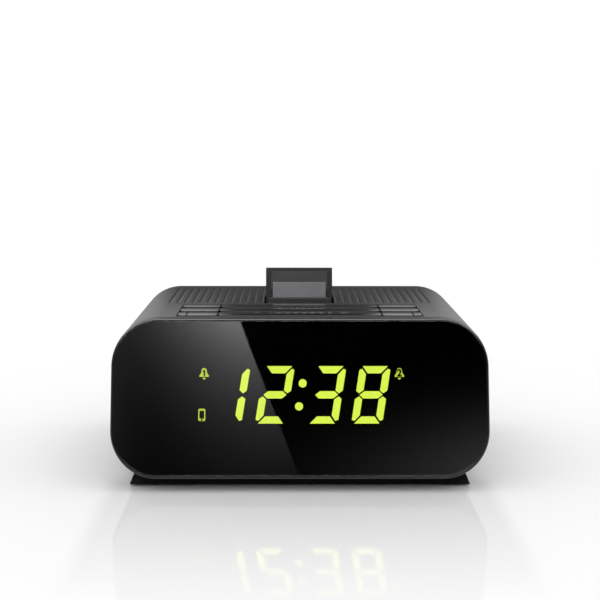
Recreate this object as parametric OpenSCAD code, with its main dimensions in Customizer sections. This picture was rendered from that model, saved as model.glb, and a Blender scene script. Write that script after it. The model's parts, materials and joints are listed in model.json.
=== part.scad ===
// Docking clock radio: a rounded cabinet with a leaning gloss front panel, a block of nine keys
// and a ribbed top, and a leaning dock with a plug. X runs right, Y runs to the back, Z runs up.
// The origin is on the table, under the middle of the cabinet. All sizes are in millimetres.

/* [Cabinet] */
// Overall width
body_w = 130; // [124:1:145]
// Depth, from the panel's lower edge to the rear face
body_d = 103; // [100:1:115]
// Height of the cabinet shell
shell_h = 53.2; // [52:0.2:58]
// Height of the shell's underside above the table
underside_z = 4.5; // [4:0.1:6]
// Radius of the cabinet's four long corners
corner_r = 16; // [14:0.5:17]
// Backward lean of the front panel, in degrees
front_tilt = 14.4; // [12:0.2:15]
// Wall thickness of the cabinet
wall = 2.2; // [1.8:0.1:2.5]
// Distance between two ribs on the top
rib_pitch = 2.88; // [2.6:0.02:3.4]
// Depth of the valleys between the ribs
rib_depth = 0.3; // [0.2:0.05:0.45]
// Distance from the last row of keys to the start of the ribs
rib_start = 2.6; // [2.2:0.1:3.6]
// Plain strip left behind the ribs
rib_end = 2.4; // [1.5:0.1:5]

/* [Covers and fits] */
// Clearance between a cover's spigot and the cabinet
fit_gap = 0.2; // [0.15:0.05:0.3]
// Thickness of the spigots that locate the covers
spigot_t = 1.8; // [1.4:0.1:2]
// Length of the spigots inside the cabinet
spigot_len = 4.5; // [3.5:0.1:5]
// Thickness of the rear cover
rear_t = 3.5; // [3.2:0.1:4.5]
// Seam between the cabinet and the rear cover
seam_w = 0.3; // [0.2:0.05:0.6]
// Radius of every screw's shank
screw_r = 1.3; // [1.2:0.05:1.4]
// Radius of every screw's head
screw_head_r = 2.5; // [2.3:0.1:2.7]
// Height of every screw's head
screw_head_h = 1.6; // [1.2:0.1:1.8]
// Clearance between a screw and its hole
screw_gap = 0.05; // [0.03:0.01:0.08]
// Radius of the screw bosses
boss_r = 3.5; // [3.2:0.1:3.8]

/* [Front panel] */
// Depth of the bezel's side wall
bezel_t = 3.1; // [2.9:0.1:3.4]
// Width of the shadow groove between the bezel and the cabinet
groove_w = 0.8; // [0.5:0.1:0.9]
// Width of the bezel's rim round the lens
rim_w = 0.9; // [0.7:0.1:1.4]
// Thickness of the lens
lens_t = 2.2; // [1.8:0.1:2.3]
// Clearance between the lens and the rim
lens_gap = 0.1; // [0.05:0.05:0.2]
// Thickness of the black mask behind the lens
mask_t = 0.4; // [0.3:0.05:0.5]
// Thickness of the bezel's plate behind the mask
plate_t = 1.6; // [1.4:0.1:1.8]

/* [Display] */
// Height of the digits
digit_h = 19.8; // [18:0.1:20.4]
// Width of the digits
digit_w = 10.7; // [10:0.1:11.2]
// Width of the digits' strokes
stroke = 2.5; // [2.2:0.1:2.8]
// Gap between two strokes of one digit
stroke_gap = 0.45; // [0.3:0.05:0.6]
// Slant of the digits, in degrees
digit_slant = 9; // [6:0.5:11]
// Distance between two digits of one pair
digit_pitch = 15.35; // [15:0.05:15.8]
// Distance between the two digits beside the colon
colon_pitch = 17.85; // [17.4:0.05:18.4]
// Diameter of the colon's dots
dot_d = 2.85; // [2.4:0.05:3.2]
// Distance between the colon's dots, along the panel
dot_pitch = 7.95; // [7:0.05:9]
// Distance of the digits' middle to the right of the panel's middle
display_x = 0.25; // [-0.5:0.05:0.5]
// Clearance between the display's board and the key board above it
display_drop = 0.55; // [0.4:0.05:1.5]
// Width of the display's board
display_board_w = 96; // [94:0.5:98]
// Height of the display's board, along the panel
display_board_h = 30; // [29:0.1:30.4]
// Distance of the two bells from the middle
bell_x = 33.8; // [33.4:0.1:34]
// Height of the bells' middle above the digits' middle
bell_rise = 7.6; // [6.5:0.1:7.8]
// Width of the bells
bell_w = 3.9; // [3.2:0.1:4]
// Drop of the phone sign's middle below the digits' middle
phone_drop = 7.1; // [6.5:0.1:7.5]
// Half width of the light-emitting display block
led_half_w = 38; // [37.5:0.5:39]
// Height of the display block, along the panel
led_h = 26; // [25:0.5:26.5]
// Depth of the display block
led_t = 8; // [7:0.5:8.5]
// Depth of the light cells in the display block
cell_t = 3; // [2:0.5:4]
// Thickness of the three circuit boards
board_t = 1.6; // [1.2:0.1:1.6]

/* [Keys] */
// Depth of one key, front to back
key_d = 9.6; // [9:0.1:9.8]
// Gap between two keys
key_gap = 0.8; // [0.6:0.1:1]
// Width of the keys at the two sides
side_key_w = 13.6; // [12.5:0.1:14]
// Width of the keys in the middle
mid_key_w = 56.8; // [54:0.1:58]
// Distance from the panel's upper edge to the first row
key_inset = 5.6; // [5.4:0.1:6.2]
// Height of the keys' crowns above the top
key_proud = 0.6; // [0.4:0.1:0.9]
// Radius of the keys' crowns
crown_r = 24; // [20:1:40]
// Travel of a key
key_travel = 0.6; // [0.4:0.1:0.8]
// Clearance between the keys and their opening
key_slot_gap = 0.4; // [0.3:0.05:0.5]
// Height of a key cap's side, from the crown down
cap_h = 3.4; // [3:0.1:3.6]
// Radius of the guide stems
stem_r = 1.95; // [1.8:0.05:2.1]
// Radial clearance of the stems in their guides
stem_gap = 0.05; // [0.03:0.01:0.08]
// Radius of the anti-turn pegs
peg_r = 1; // [0.8:0.05:1.1]
// Distance from a side key's stem to its peg
peg_x = 4.5; // [4.2:0.1:4.8]
// Distance from a middle key's centre stem to its outer stems
outer_stem_x = 18; // [15:0.5:20]
// Width of a tact switch
tact_w = 6; // [5.6:0.1:6.2]
// Height of a tact switch
tact_h = 3.5; // [3.3:0.1:3.8]

/* [Dock] */
// Backward lean of the docked device, in degrees
dock_lean = 14.5; // [12:0.5:16]
// Width of the rocking dock pod
pod_w = 23.6; // [22.8:0.1:24.4]
// Distance from the plug's middle to the pod's front
pod_front = 9.8; // [9.2:0.1:10.2]
// Distance from the plug's middle to the pod's back
pod_rear = 4.9; // [4.6:0.1:5.1]
// Gap round the pod
pod_gap = 1.5; // [1.3:0.1:1.7]
// Strip of the top between the keys and the dock's opening
dock_strip = 2; // [1.8:0.1:3]
// Width of the plug
plug_w = 20.4; // [19.6:0.1:20.8]
// Thickness of the plug
plug_t = 2.1; // [1.9:0.1:2.3]
// Height of the plug above its shoulder
plug_h = 6; // [5:0.1:6.5]
// Height of the pod's shoulder round the plug
shoulder_h = 1.2; // [0.8:0.1:1.4]
// Radius of the hinge pin
pin_r = 1.5; // [1.3:0.05:1.6]
// Radial running clearance of the pin
pin_gap = 0.05; // [0.03:0.01:0.08]
// Width of the back rest
rest_w = 26; // [24:0.5:26.2]
// Thickness of the back rest
rest_t = 3; // [2.6:0.1:3.2]
// Height of the back rest above the top, along its lean
rest_h = 11.5; // [9:0.5:14]
// Thickness of the rest's soft pad
pad_t = 0.6; // [0.4:0.1:0.8]
// Depth of the well under the cabinet's top
well_depth = 9.5; // [9:0.1:10]
// Wall thickness of the well
well_wall = 1.6; // [1.4:0.1:1.8]
// Radius of the return spring's coil
spring_r = 1.9; // [1.6:0.1:2]
// Diameter of the return spring's wire
spring_wire = 0.4; // [0.3:0.05:0.5]
// Clearance between the return spring and the hinge pin
spring_gap = 0.4; // [0.3:0.1:0.6]

/* [Base] */
// Half width of the plinth at the table
plinth_half_w = 59.3; // [58.5:0.1:60]
// Distance from the panel's lower edge back to the plinth's front
plinth_setback = 6.5; // [6:0.5:8]
// Distance from the rear face forward to the plinth's back
plinth_rear_in = 5.5; // [4.5:0.5:8]
// Inward slope of the plinth's sides for each millimetre of height
plinth_slope = 0.4; // [0.3:0.05:0.45]
// Height of the plinth's floor above the table
foot_proud = 0.6; // [0.4:0.1:0.8]
// Thickness of the plinth's floor
base_t = 2; // [1.8:0.1:2.2]
// Radius of the rubber feet
foot_r = 5; // [4:0.5:6]
// Thickness of the rubber feet
foot_t = 1.6; // [1.4:0.1:1.8]
// Radius of the battery door
door_r = 12.7; // [12.4:0.1:13]
// Clearance round the battery door
door_gap = 0.3; // [0.2:0.05:0.4]
// Radius of the backup cell
cell_r = 10; // [9.8:0.1:10]
// Thickness of the backup cell
cell_h = 3.2; // [2.5:0.1:3.2]

/* [Rear and inside] */
// Clearance between the loudspeaker's flange and the rear cover's spigot
speaker_margin = 0.3; // [0.2:0.1:1]
// Depth of the loudspeaker's basket
basket_h = 14; // [12:0.5:15]
// Distance from the cabinet's side to the loudspeaker's middle
speaker_edge = 36; // [35:0.5:37]
// Thickness of the loudspeaker's gasket
gasket_t = 1.2; // [1:0.1:1.4]
// Pitch of the slots in front of the loudspeaker
slot_pitch = 3; // [2.8:0.1:3.4]
// Width of those slots
slot_w = 1.4; // [1.2:0.1:1.6]
// Distance of the audio socket from the middle
audio_x = 22; // [20:0.5:24]
// Radius of the audio socket's bore
audio_bore_r = 1.8; // [1.75:0.05:1.85]
// Length of the audio socket's bore
audio_bore_l = 14; // [13:0.5:15]
// Distance of the power inlet from the middle
power_x = 37; // [36:0.5:38]
// Radius of the power inlet's mouth
power_bore_r = 3.15; // [3:0.05:3.3]
// Distance of the aerial wire's gland from the middle
aerial_x = 8; // [7:0.5:10]
// Radius of the aerial wire's gland
aerial_r = 2.6; // [2.4:0.1:3]
// Height of the main board's underside above the table
board_z = 12; // [11.5:0.1:12.5]

/* [Hidden] */
$fn = 72;

// Reach of the bars and slabs that cut or bound other shapes.
reach = 2 * (body_w + body_d);
front_y = -body_d / 2;
rear_y = body_d / 2;
top_z = underside_z + shell_h;
ceiling_z = top_z - wall;
mid_z = underside_z + shell_h / 2;
front_top_y = front_y + shell_h * tan(front_tilt);
flat_half_w = body_w / 2 - corner_r;

// Layers of the front panel, as distances behind its outer face.
mask_back = lens_t + mask_t;
plate_back = mask_back + plate_t;
cabinet_front = bezel_t + groove_w;
spigot_in = wall + fit_gap;
board_front = mask_back + led_t;
board_back = board_front + board_t;
display_post_x = display_board_w / 2 - 4;
display_post_s = display_board_h / 2 - 3;
window_lip = 1.5;

// Rows and columns of keys.
key_block_w = 2 * side_key_w + mid_key_w + 2 * key_gap;
side_key_x = (mid_key_w + side_key_w) / 2 + key_gap;
key_y0 = front_top_y + key_inset;
key_pitch = key_d + key_gap;
key_y1 = key_y0 + 3 * key_pitch - key_gap;
key_top_z = top_z + key_proud;
cap_z0 = key_top_z - cap_h;
frame_z1 = cap_z0 - key_travel - 1.5;
frame_z0 = frame_z1 - 1.6;
frame_y1 = key_y1 + 0.4;
frame_y0 = key_y0 - 1.8;
collar_h = 0.8;
collar_gap = 0.05;
tact_z1 = frame_z0 - 1.7;
tact_z0 = tact_z1 - tact_h;
key_board_z0 = tact_z0 - board_t + 0.4;
key_board_t = tact_z0 - key_board_z0;
tip_z = tact_z1 - 1.1;
tip_r = 1.6;
tip_gap = 0.1;
frame_boss_x = key_block_w / 2 + key_slot_gap + boss_r + 0.3;
frame_half_w = frame_boss_x + boss_r - 0.5;
frame_boss_ys = [key_y0 + 2.2, key_y1 - 3.2];
key_post_x = (mid_key_w + key_gap) / 2;
key_post_r = 2;

// Middle of the digits, along the panel.
display_s = (key_board_z0 - display_drop - underside_z + board_front * sin(front_tilt))
    / cos(front_tilt) - display_board_h / 2;

// The dock's own frame: its origin is on the cabinet's top, at the plug's middle plane, with v
// running backwards and down, and w running up and back, along the docked device.
dock_opening_y0 = key_y1 + key_slot_gap + dock_strip;
dock_half_w = pod_w / 2 + pod_gap;
dock_y = dock_opening_y0 + pod_gap + pod_front / cos(dock_lean);
rest_front = 6.2;
rest_rear = rest_front + rest_t;
dock_opening_y1 = dock_y + rest_rear / cos(dock_lean) + fit_gap;
pod_top = -0.8;
pod_bottom = -7;
plug_seat = -3;
pivot_v = -2.5;
pivot_w = -9;
pivot_y = dock_y + pivot_v * cos(dock_lean) + pivot_w * sin(dock_lean);
pivot_z = top_z - pivot_v * sin(dock_lean) + pivot_w * cos(dock_lean);
lug_r = 3;
well_floor_z = ceiling_z - well_depth;
well_ear_z = ceiling_z - 6;
well_ear_x = dock_half_w + well_wall + boss_r + 0.6;
well_ear_ys = [dock_opening_y0 + 3, dock_opening_y1 - 3];
spring_y = pivot_y - pin_r - spring_gap - spring_r - spring_wire / 2;
spring_seat_z = top_z - 4.5;
spring_turns = 5;
rest_screw_x = 8;
rest_foot_y = dock_y + (rest_front + rest_t / 2) / cos(dock_lean)
    - (top_z - well_floor_z) * tan(dock_lean);
ribbon_w = 9;
ribbon_t = 0.5;
ribbon_y = pivot_y + 0.5;

// The plinth, the boards and what stands on them.
base_floor_z = foot_proud + base_t;
plinth_front_y = front_y + plinth_setback;
plinth_rear_y = rear_y - plinth_rear_in;
plinth_rise = 4;
base_seat_gap = 0.1;
base_opening_half_w = flat_half_w - 5;
base_opening_y0 = front_y + 15;
base_opening_y1 = rear_y - 12;
base_screw_x = flat_half_w + 1;
base_screw_ys = [front_y + 25.5, rear_y - 21];
base_boss_h = 7;
board_top_z = board_z + board_t;
board_half_w = base_opening_half_w + 1;
board_y0 = front_y + 26.5;
board_y1 = rear_y - 27.5;
board_tab_x0 = 4;
board_tab_y1 = rear_y - rear_t - 1.6;
board_post_x = base_opening_half_w - 4;
board_post_ys = [board_y0 + 5, board_y1 - 6];
tuner_size = [20, 18, 7];
tuner_y = board_y0 + tuner_size.y / 2 + 4;
trim_hole_r = 1.2;
chip_w = 14;
chip_h = 1.6;
chip_y = board_y0 + 15;
amplifier_x = board_half_w - 19;
amplifier_size = [18, 3, 13];
sink_size = [22, 6, 18];
sink_t = 2;
sink_y = board_y0 + 17.5;
fin_t = 1;
door_x = -16;
door_y = -6;
door_lug_r = door_r + 1.9;
door_notch_turn = 45;
holder_wall = 1.8;
foot_x = plinth_half_w - 9;
foot_ys = [plinth_front_y + 7, plinth_rear_y - 7];

// Rear cover and what it carries.
rear_in_y = rear_y - rear_t;
joint_y = rear_in_y - seam_w;
rear_screw_in = corner_r - wall - fit_gap - screw_head_r - 1;
rear_boss_r = corner_r - wall + 0.6 - rear_screw_in;
rear_boss_l = 14;
speaker_x = body_w / 2 - speaker_edge;
speaker_inset = spigot_in + spigot_t + speaker_margin;
speaker_w = shell_h - 2 * speaker_inset;
speaker_hole = speaker_w / 2 - 4;
speaker_t = 1.5;
flange_y = rear_in_y - gasket_t;
basket_y = flange_y - speaker_t - basket_h;
cone_r = speaker_w / 2 - 5;
magnet_r = 14;
magnet_h = 8;
grille_r = speaker_w / 2 - 4.5;
jack_z = board_top_z + 3.4;
power_z = board_top_z + 5.6;
jack_nose_y = rear_y - 0.6;
audio_nose_r = 2.9;
power_nose_r = 4.5;
nose_gap = 0.2;

// ---- shared shapes ----

// Outline of the cabinet, drawn in from its outer face.
module body_outline(inset) {
    w = body_w - 2 * inset;
    h = shell_h - 2 * inset;
    r = corner_r - inset;
    square([w, h - 2 * r], center = true);
    square([w - 2 * r, h], center = true);
    for (x = [-1, 1], z = [-1, 1])
        translate([x * (w / 2 - r), z * (h / 2 - r)]) circle(r);
}

// A bar of that outline, running from y0 to y1.
module body_bar(inset, y0, y1) {
    translate([0, y1, mid_z]) rotate([90, 0, 0]) linear_extrude(y1 - y0) body_outline(inset);
}

// Places children on the front panel: x across, y up the panel, z out of its face.
module on_panel() {
    translate([0, front_y, underside_z]) rotate([90 - front_tilt, 0, 0]) children();
}

// The layer between two depths behind the panel's face.
module panel_layer(t0, t1) {
    on_panel() translate([-reach / 2, -reach / 2, -t1]) cube([reach, reach, t1 - t0]);
}

// A slice of the cabinet's outline between two depths behind the panel's face.
module panel_slice(inset, t0, t1) {
    intersection() {
        body_bar(inset, front_y - wall, rear_y);
        panel_layer(t0, t1);
    }
}

// A flat shape on the panel, between two depths behind its face.
module panel_plate(t0, t1) {
    on_panel() translate([0, 0, -t1]) linear_extrude(t1 - t0) children();
}

// Extrudes a profile drawn in the Y-Z plane along X, about the middle.
module along_x(w) {
    rotate([90, 0, 90]) linear_extrude(w, center = true) children();
}

// A cylinder along Y, from y0 to y1.
module rod_y(x, z, r, y0, y1) {
    translate([x, y1, z]) rotate([90, 0, 0]) cylinder(r = r, h = y1 - y0);
}

// A box from its lowest to its highest corner.
module box(a, b) {
    translate(a) cube(b - a);
}

// A screw whose head lies below z = 0 and whose shank points up.
module screw(length) {
    difference() {
        union() {
            translate([0, 0, -screw_head_h]) cylinder(r = screw_head_r, h = screw_head_h);
            translate([0, 0, -0.01]) cylinder(r = screw_r, h = length);
        }
        for (turn = [0, 90]) rotate([0, 0, turn])
            translate([-1.4, -0.3, -screw_head_h - 1]) cube([2.8, 0.6, 1.8]);
    }
}

// The hole that takes a screw's shank.
module screw_hole(length) {
    translate([0, 0, -0.01]) cylinder(r = screw_r + screw_gap, h = length + 0.6);
}

// ---- display outlines ----

// Leans a point of a digit by the digits' slant.
function slanted(p) = [p.x + p.y * tan(digit_slant), p.y];

// Upper bar of a digit, grown by g on all sides.
function top_bar(g) =
    let (outer = digit_w / 2 - 0.95, inner = outer - stroke * 0.84, k = 0.84 * g, m = 1.4 * g,
         y1 = digit_h / 2 + g, y0 = digit_h / 2 - stroke - g)
    [[-outer - k - m, y1], [outer + k + m, y1], [inner - k + m, y0], [-inner + k - m, y0]];

// Upper right stroke of a digit, grown by g on all sides.
function side_bar(g) =
    let (x1 = digit_w / 2, x0 = x1 - stroke, xm = x1 - 0.95, y1 = digit_h / 2 - 0.85,
         low = stroke_gap)
    [[xm, y1 + 1.4 * g], [x1 + g, y1 - 0.35 + g], [x1 + g, low + 0.9], [xm - 0.25, low - 1.4 * g],
     [x0 - g, low + 1.05], [x0 - g, y1 - 1.95]];

// Middle bar of a digit, grown by g on all sides.
function middle_bar(g) =
    let (tip = digit_w / 2 - 1.3 + 1.4 * g, flat = digit_w / 2 - 2.75, h = stroke / 2 + g)
    [[-tip, 0], [-flat, h], [flat, h], [tip, 0], [flat, -h], [-flat, -h]];

function flipped_x(points) = [for (p = points) [-p.x, p.y]];
function flipped_y(points) = [for (p = points) [p.x, -p.y]];

// The seven strokes of a digit, in the order top, upper right, lower right, bottom, lower left,
// upper left, middle.
function strokes(g) = [
    top_bar(g), side_bar(g), flipped_y(side_bar(g)), flipped_y(top_bar(g)),
    flipped_x(flipped_y(side_bar(g))), flipped_x(side_bar(g)), middle_bar(g)];

digit_xs = [for (side = [-1, 1], far = [0, 1])
    display_x + side * (colon_pitch / 2 + far * digit_pitch)];

// All strokes of the four digits and the colon.
module digit_cells(g) {
    translate([0, display_s]) {
        for (x = digit_xs, points = strokes(g))
            translate([x, 0]) polygon([for (p = points) slanted(p)]);
        for (side = [-1, 1])
            translate(slanted([0, side * dot_pitch / 2]) + [display_x, 0])
                circle(dot_d / 2 + g);
    }
}

// A bell, as wide as its skirt, with its clapper under it.
module bell_outline() {
    dome_r = bell_w * 0.3;
    skirt_z = -bell_w * 0.37;
    translate([0, bell_w * 0.18]) circle(dome_r);
    translate([0, bell_w * 0.5]) circle(bell_w * 0.08);
    polygon([[-dome_r, bell_w * 0.18], [dome_r, bell_w * 0.18], [dome_r * 1.08, -bell_w * 0.12],
        [bell_w / 2, skirt_z], [-bell_w / 2, skirt_z], [-dome_r * 1.08, -bell_w * 0.12]]);
    intersection() {
        translate([0, skirt_z - 0.25]) circle(bell_w * 0.12);
        translate([-1, skirt_z - 1.25]) square([2, 1]);
    }
}

// A phone with its screen cut out.
module phone_outline() {
    difference() {
        square([2.7, 4.4], center = true);
        translate([0, 0.2]) square([1.8, 2.9], center = true);
    }
}

icon_spots = [[2 * display_x - bell_x, bell_rise], [2 * display_x + bell_x, bell_rise],
    [-bell_x, -phone_drop]];

// ---- front panel ----

module front_lens() {
    color([0.05, 0.05, 0.06]) panel_slice(rim_w + lens_gap, 0, lens_t);
}

module led_window(grow) {
    translate([display_x, display_s])
        square([2 * (led_half_w + grow), led_h + 2 * grow], center = true);
}

module display_mask() {
    color([0.03, 0.03, 0.03]) difference() {
        panel_slice(rim_w + lens_gap, lens_t, mask_back);
        panel_plate(lens_t - 1, mask_back + 1) led_window(-window_lip);
    }
}

module front_bezel() {
    color([0.08, 0.08, 0.09]) difference() {
        union() {
            panel_slice(0, 0, bezel_t);
            panel_slice(spigot_in, bezel_t - 0.5, plate_back);
            difference() {
                panel_slice(spigot_in, bezel_t - 0.5, cabinet_front + spigot_len);
                body_bar(spigot_in + spigot_t, front_y - wall, rear_y);
                // clears the keys and their frame
                box([-frame_half_w - 0.6, front_y, mid_z], [frame_half_w + 0.6, rear_y, top_z]);
            }
            for (x = [-1, 1], s = [-1, 1]) panel_plate(plate_back - 0.5, board_front)
                translate([x * display_post_x, display_s + s * display_post_s]) circle(boss_r);
        }
        panel_slice(rim_w, -1, mask_back);
        panel_plate(0, plate_back + 1) led_window(fit_gap);
        for (x = [-1, 1], s = [-1, 1]) panel_plate(plate_back, board_front + 1)
            translate([x * display_post_x, display_s + s * display_post_s])
                circle(screw_r + screw_gap);
    }
}

module led_block() {
    color([0.1, 0.1, 0.1]) difference() {
        panel_plate(mask_back, board_front) led_window(0);
        panel_plate(mask_back - 1, mask_back + cell_t) digit_cells(0.05);
        for (spot = icon_spots) panel_plate(mask_back - 1, mask_back + cell_t)
            translate(spot + [0, display_s]) square([4.2, 5], center = true);
    }
}

module digit_segments() {
    color([0.8, 0.95, 0.3]) panel_plate(mask_back, mask_back + cell_t) digit_cells(0);
}

module icon_cells() {
    color([0.8, 0.95, 0.3]) {
        for (spot = [icon_spots[0], icon_spots[1]]) panel_plate(mask_back, mask_back + cell_t)
            translate(spot + [0, display_s]) bell_outline();
        panel_plate(mask_back, mask_back + cell_t)
            translate(icon_spots[2] + [0, display_s]) phone_outline();
    }
}

module display_board() {
    color([0.1, 0.35, 0.2]) difference() {
        panel_plate(board_front, board_back) translate([0, display_s])
            square([display_board_w, display_board_h], center = true);
        for (x = [-1, 1], s = [-1, 1]) panel_plate(board_front - 1, board_back + 1)
            translate([x * display_post_x, display_s + s * display_post_s])
                circle(screw_r + screw_gap);
    }
}

module display_screws() {
    color([0.7, 0.7, 0.72]) for (x = [-1, 1], s = [-1, 1]) on_panel()
        translate([x * display_post_x, display_s + s * display_post_s, -board_back])
            screw(board_t + board_front - plate_back - 0.6);
}

// ---- cabinet ----

// Valleys between the ribs, as long rods laid in the top.
module rib_valleys() {
    half_w = rib_pitch * 0.32;
    valley_r = (half_w * half_w + rib_depth * rib_depth) / (2 * rib_depth);
    count = floor((flat_half_w + 0.2) / rib_pitch);
    for (i = [-count : count]) rod_y(i * rib_pitch, top_z - rib_depth + valley_r, valley_r,
        key_y1 + rib_start, joint_y - rib_end);
}

module cabinet_shell() {
    difference() {
        body_bar(0, front_y - 1, joint_y);
        body_bar(wall, front_y - 2, rear_y);
        panel_layer(-reach / 2, cabinet_front);
        rib_valleys();
        // opening for the keys
        box([-key_block_w / 2 - key_slot_gap, key_y0 - key_slot_gap, mid_z],
            [key_block_w / 2 + key_slot_gap, key_y1 + key_slot_gap, top_z + 1]);
        // opening for the dock
        box([-dock_half_w, dock_opening_y0, mid_z], [dock_half_w, dock_opening_y1, top_z + 1]);
        // opening that the base closes
        box([-base_opening_half_w, base_opening_y0, 0],
            [base_opening_half_w, base_opening_y1, mid_z]);
    }
}

// Centres of the four rear screws, on the cabinet's outline.
module at_rear_screws() {
    for (x = [-1, 1], z = [-1, 1])
        translate([x * (flat_half_w + rear_screw_in * cos(45)), 0,
            mid_z + z * (shell_h / 2 - corner_r + rear_screw_in * sin(45))]) children();
}

module cabinet() {
    color([0.15, 0.15, 0.16]) difference() {
        union() {
            cabinet_shell();
            intersection() {
                at_rear_screws() rod_y(0, 0, rear_boss_r, joint_y - spigot_len - rear_boss_l,
                    joint_y - spigot_len - 0.1);
                body_bar(wall / 2, front_y, rear_y);
            }
            for (x = [-1, 1], y = frame_boss_ys) translate([x * frame_boss_x, y, frame_z1])
                cylinder(r = boss_r - 0.6, h = ceiling_z - frame_z1 + 0.5);
            for (x = [-1, 1], y = well_ear_ys) translate([x * well_ear_x, y, well_ear_z])
                cylinder(r = boss_r, h = ceiling_z - well_ear_z + 0.5);
            for (x = [-1, 1], y = base_screw_ys)
                translate([x * base_screw_x, y, underside_z + 1])
                    cylinder(r = boss_r, h = base_boss_h + wall - 1);
        }
        at_rear_screws() rod_y(0, 0, screw_r + screw_gap, joint_y - spigot_len - rear_boss_l + 3,
            joint_y);
        for (x = [-1, 1], y = frame_boss_ys) translate([x * frame_boss_x, y, frame_z1])
            screw_hole(ceiling_z - frame_z1 - 0.4);
        for (x = [-1, 1], y = well_ear_ys) translate([x * well_ear_x, y, well_ear_z])
            screw_hole(ceiling_z - well_ear_z - 0.4);
        for (x = [-1, 1], y = base_screw_ys) translate([x * base_screw_x, y, 0])
            screw_hole(underside_z + base_boss_h);
    }
}

// ---- rear cover ----

module at_speaker_holes() {
    for (x = [-1, 1], z = [-1, 1])
        translate([-speaker_x + x * speaker_hole, 0, mid_z + z * speaker_hole]) children();
}

// Level slots that fill a circle in front of the loudspeaker, parted by a middle rib.
module grille_slots() {
    count = floor(grille_r / slot_pitch);
    for (i = [-count : count]) {
        half = sqrt(grille_r * grille_r - pow(i * slot_pitch, 2));
        if (half > 3) for (side = [-1, 1])
            translate([-speaker_x + side * (half + 1) / 2, rear_y, mid_z + i * slot_pitch])
                cube([half - 1, 3 * rear_t, slot_w], center = true);
    }
}

module rear_cover() {
    color([0.13, 0.13, 0.14]) difference() {
        union() {
            body_bar(0, rear_in_y, rear_y);
            difference() {
                body_bar(spigot_in, joint_y - spigot_len, rear_in_y + 0.5);
                body_bar(spigot_in + spigot_t, front_y, rear_in_y + 0.1);
            }
            at_rear_screws()
                rod_y(0, 0, screw_head_r + 0.9, joint_y - spigot_len, rear_in_y + 0.5);
            at_speaker_holes() rod_y(0, 0, 2.6, flange_y, rear_in_y + 0.5);
        }
        grille_slots();
        at_rear_screws() {
            rod_y(0, 0, screw_r + screw_gap, front_y, rear_y + 1);
            rod_y(0, 0, screw_head_r + fit_gap, rear_in_y, rear_y + 1);
        }
        at_speaker_holes() rod_y(0, 0, screw_r + screw_gap, flange_y - 1, rear_in_y + 2);
        rod_y(audio_x, jack_z, audio_nose_r + nose_gap, front_y, rear_y + 1);
        rod_y(power_x, power_z, power_nose_r + nose_gap, front_y, rear_y + 1);
        rod_y(aerial_x, jack_z, aerial_r, front_y, rear_y + 1);
    }
}

module rear_screws() {
    color([0.25, 0.25, 0.26]) at_rear_screws()
        translate([0, rear_in_y, 0]) rotate([90, 0, 0]) screw(seam_w + spigot_len + 8);
}

// ---- base ----

// The plinth's outer solid, drawn in by inset, from z0 to z1.
module plinth_solid(inset, z0, z1) {
    half_w = plinth_half_w - inset;
    y0 = plinth_front_y + inset;
    y1 = plinth_rear_y - inset;
    intersection() {
        translate([0, reach / 2, 0]) rotate([90, 0, 0]) linear_extrude(reach)
            polygon([[-half_w + plinth_slope * z0, z0], [half_w - plinth_slope * z0, z0],
                [half_w - plinth_slope * z1, z1], [-half_w + plinth_slope * z1, z1]]);
        along_x(reach)
            polygon([[y0 + plinth_slope * z0, z0], [y1 - plinth_slope * z0, z0],
                [y1 - plinth_slope * z1, z1], [y0 + plinth_slope * z1, z1]]);
    }
}

module bottom_cover() {
    color([0.1, 0.1, 0.11]) difference() {
        union() {
            difference() {
                plinth_solid(0, foot_proud, underside_z + plinth_rise);
                plinth_solid(wall, base_floor_z, underside_z + plinth_rise + 1);
                body_bar(-base_seat_gap, front_y - 1, rear_y + 1);
            }
            for (x = [-1, 1], y = base_screw_ys) translate([x * base_screw_x, y, foot_proud])
                cylinder(r = boss_r, h = underside_z - base_seat_gap - foot_proud);
            for (x = [-1, 1], y = board_post_ys) translate([x * board_post_x, y, foot_proud])
                cylinder(r = boss_r - 0.5, h = board_z - foot_proud);
        }
        for (x = [-1, 1], y = base_screw_ys) translate([x * base_screw_x, y, 0]) {
            screw_hole(underside_z + 1);
            cylinder(r = screw_head_r + fit_gap, h = foot_proud + screw_head_h + 0.2);
        }
        for (x = [-1, 1], y = board_post_ys) translate([x * board_post_x, y, base_floor_z])
            screw_hole(board_z);
        for (x = [-1, 1], y = foot_ys) translate([x * foot_x, y, -1])
            cylinder(r = foot_r + 0.1, h = foot_t + 1);
        // the battery door's mouth, with two notches for its lugs
        translate([door_x, door_y, 0]) {
            cylinder(r = door_r + door_gap, h = base_floor_z + 1);
            rotate([0, 0, door_notch_turn]) cube([2 * door_lug_r + 0.8, 7, 12], center = true);
        }
    }
}

module bottom_screws() {
    color([0.25, 0.25, 0.26]) for (x = [-1, 1], y = base_screw_ys)
        translate([x * base_screw_x, y, foot_proud + screw_head_h + 0.2])
            screw(base_boss_h + 1);
}

module rubber_feet() {
    color([0.05, 0.05, 0.05]) for (x = [-1, 1], y = foot_ys) translate([x * foot_x, y, 0])
        cylinder(r = foot_r, h = foot_t);
}

module battery_door() {
    color([0.1, 0.1, 0.11]) translate([door_x, door_y, 0]) difference() {
        union() {
            translate([0, 0, foot_proud + 0.2])
                cylinder(r = door_r, h = base_t - 0.2);
            translate([0, 0, base_floor_z - 0.5]) cylinder(r = cell_r + 0.6, h = 2.5);
            intersection() {
                translate([0, 0, base_floor_z + 0.3]) cylinder(r = door_lug_r, h = 1.4);
                translate([-reach / 2, -3, 0]) cube([reach, 6, reach]);
            }
        }
        // slot for a coin
        translate([-8, -0.9, 0]) cube([16, 1.8, foot_proud + 1.2]);
    }
}

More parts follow.
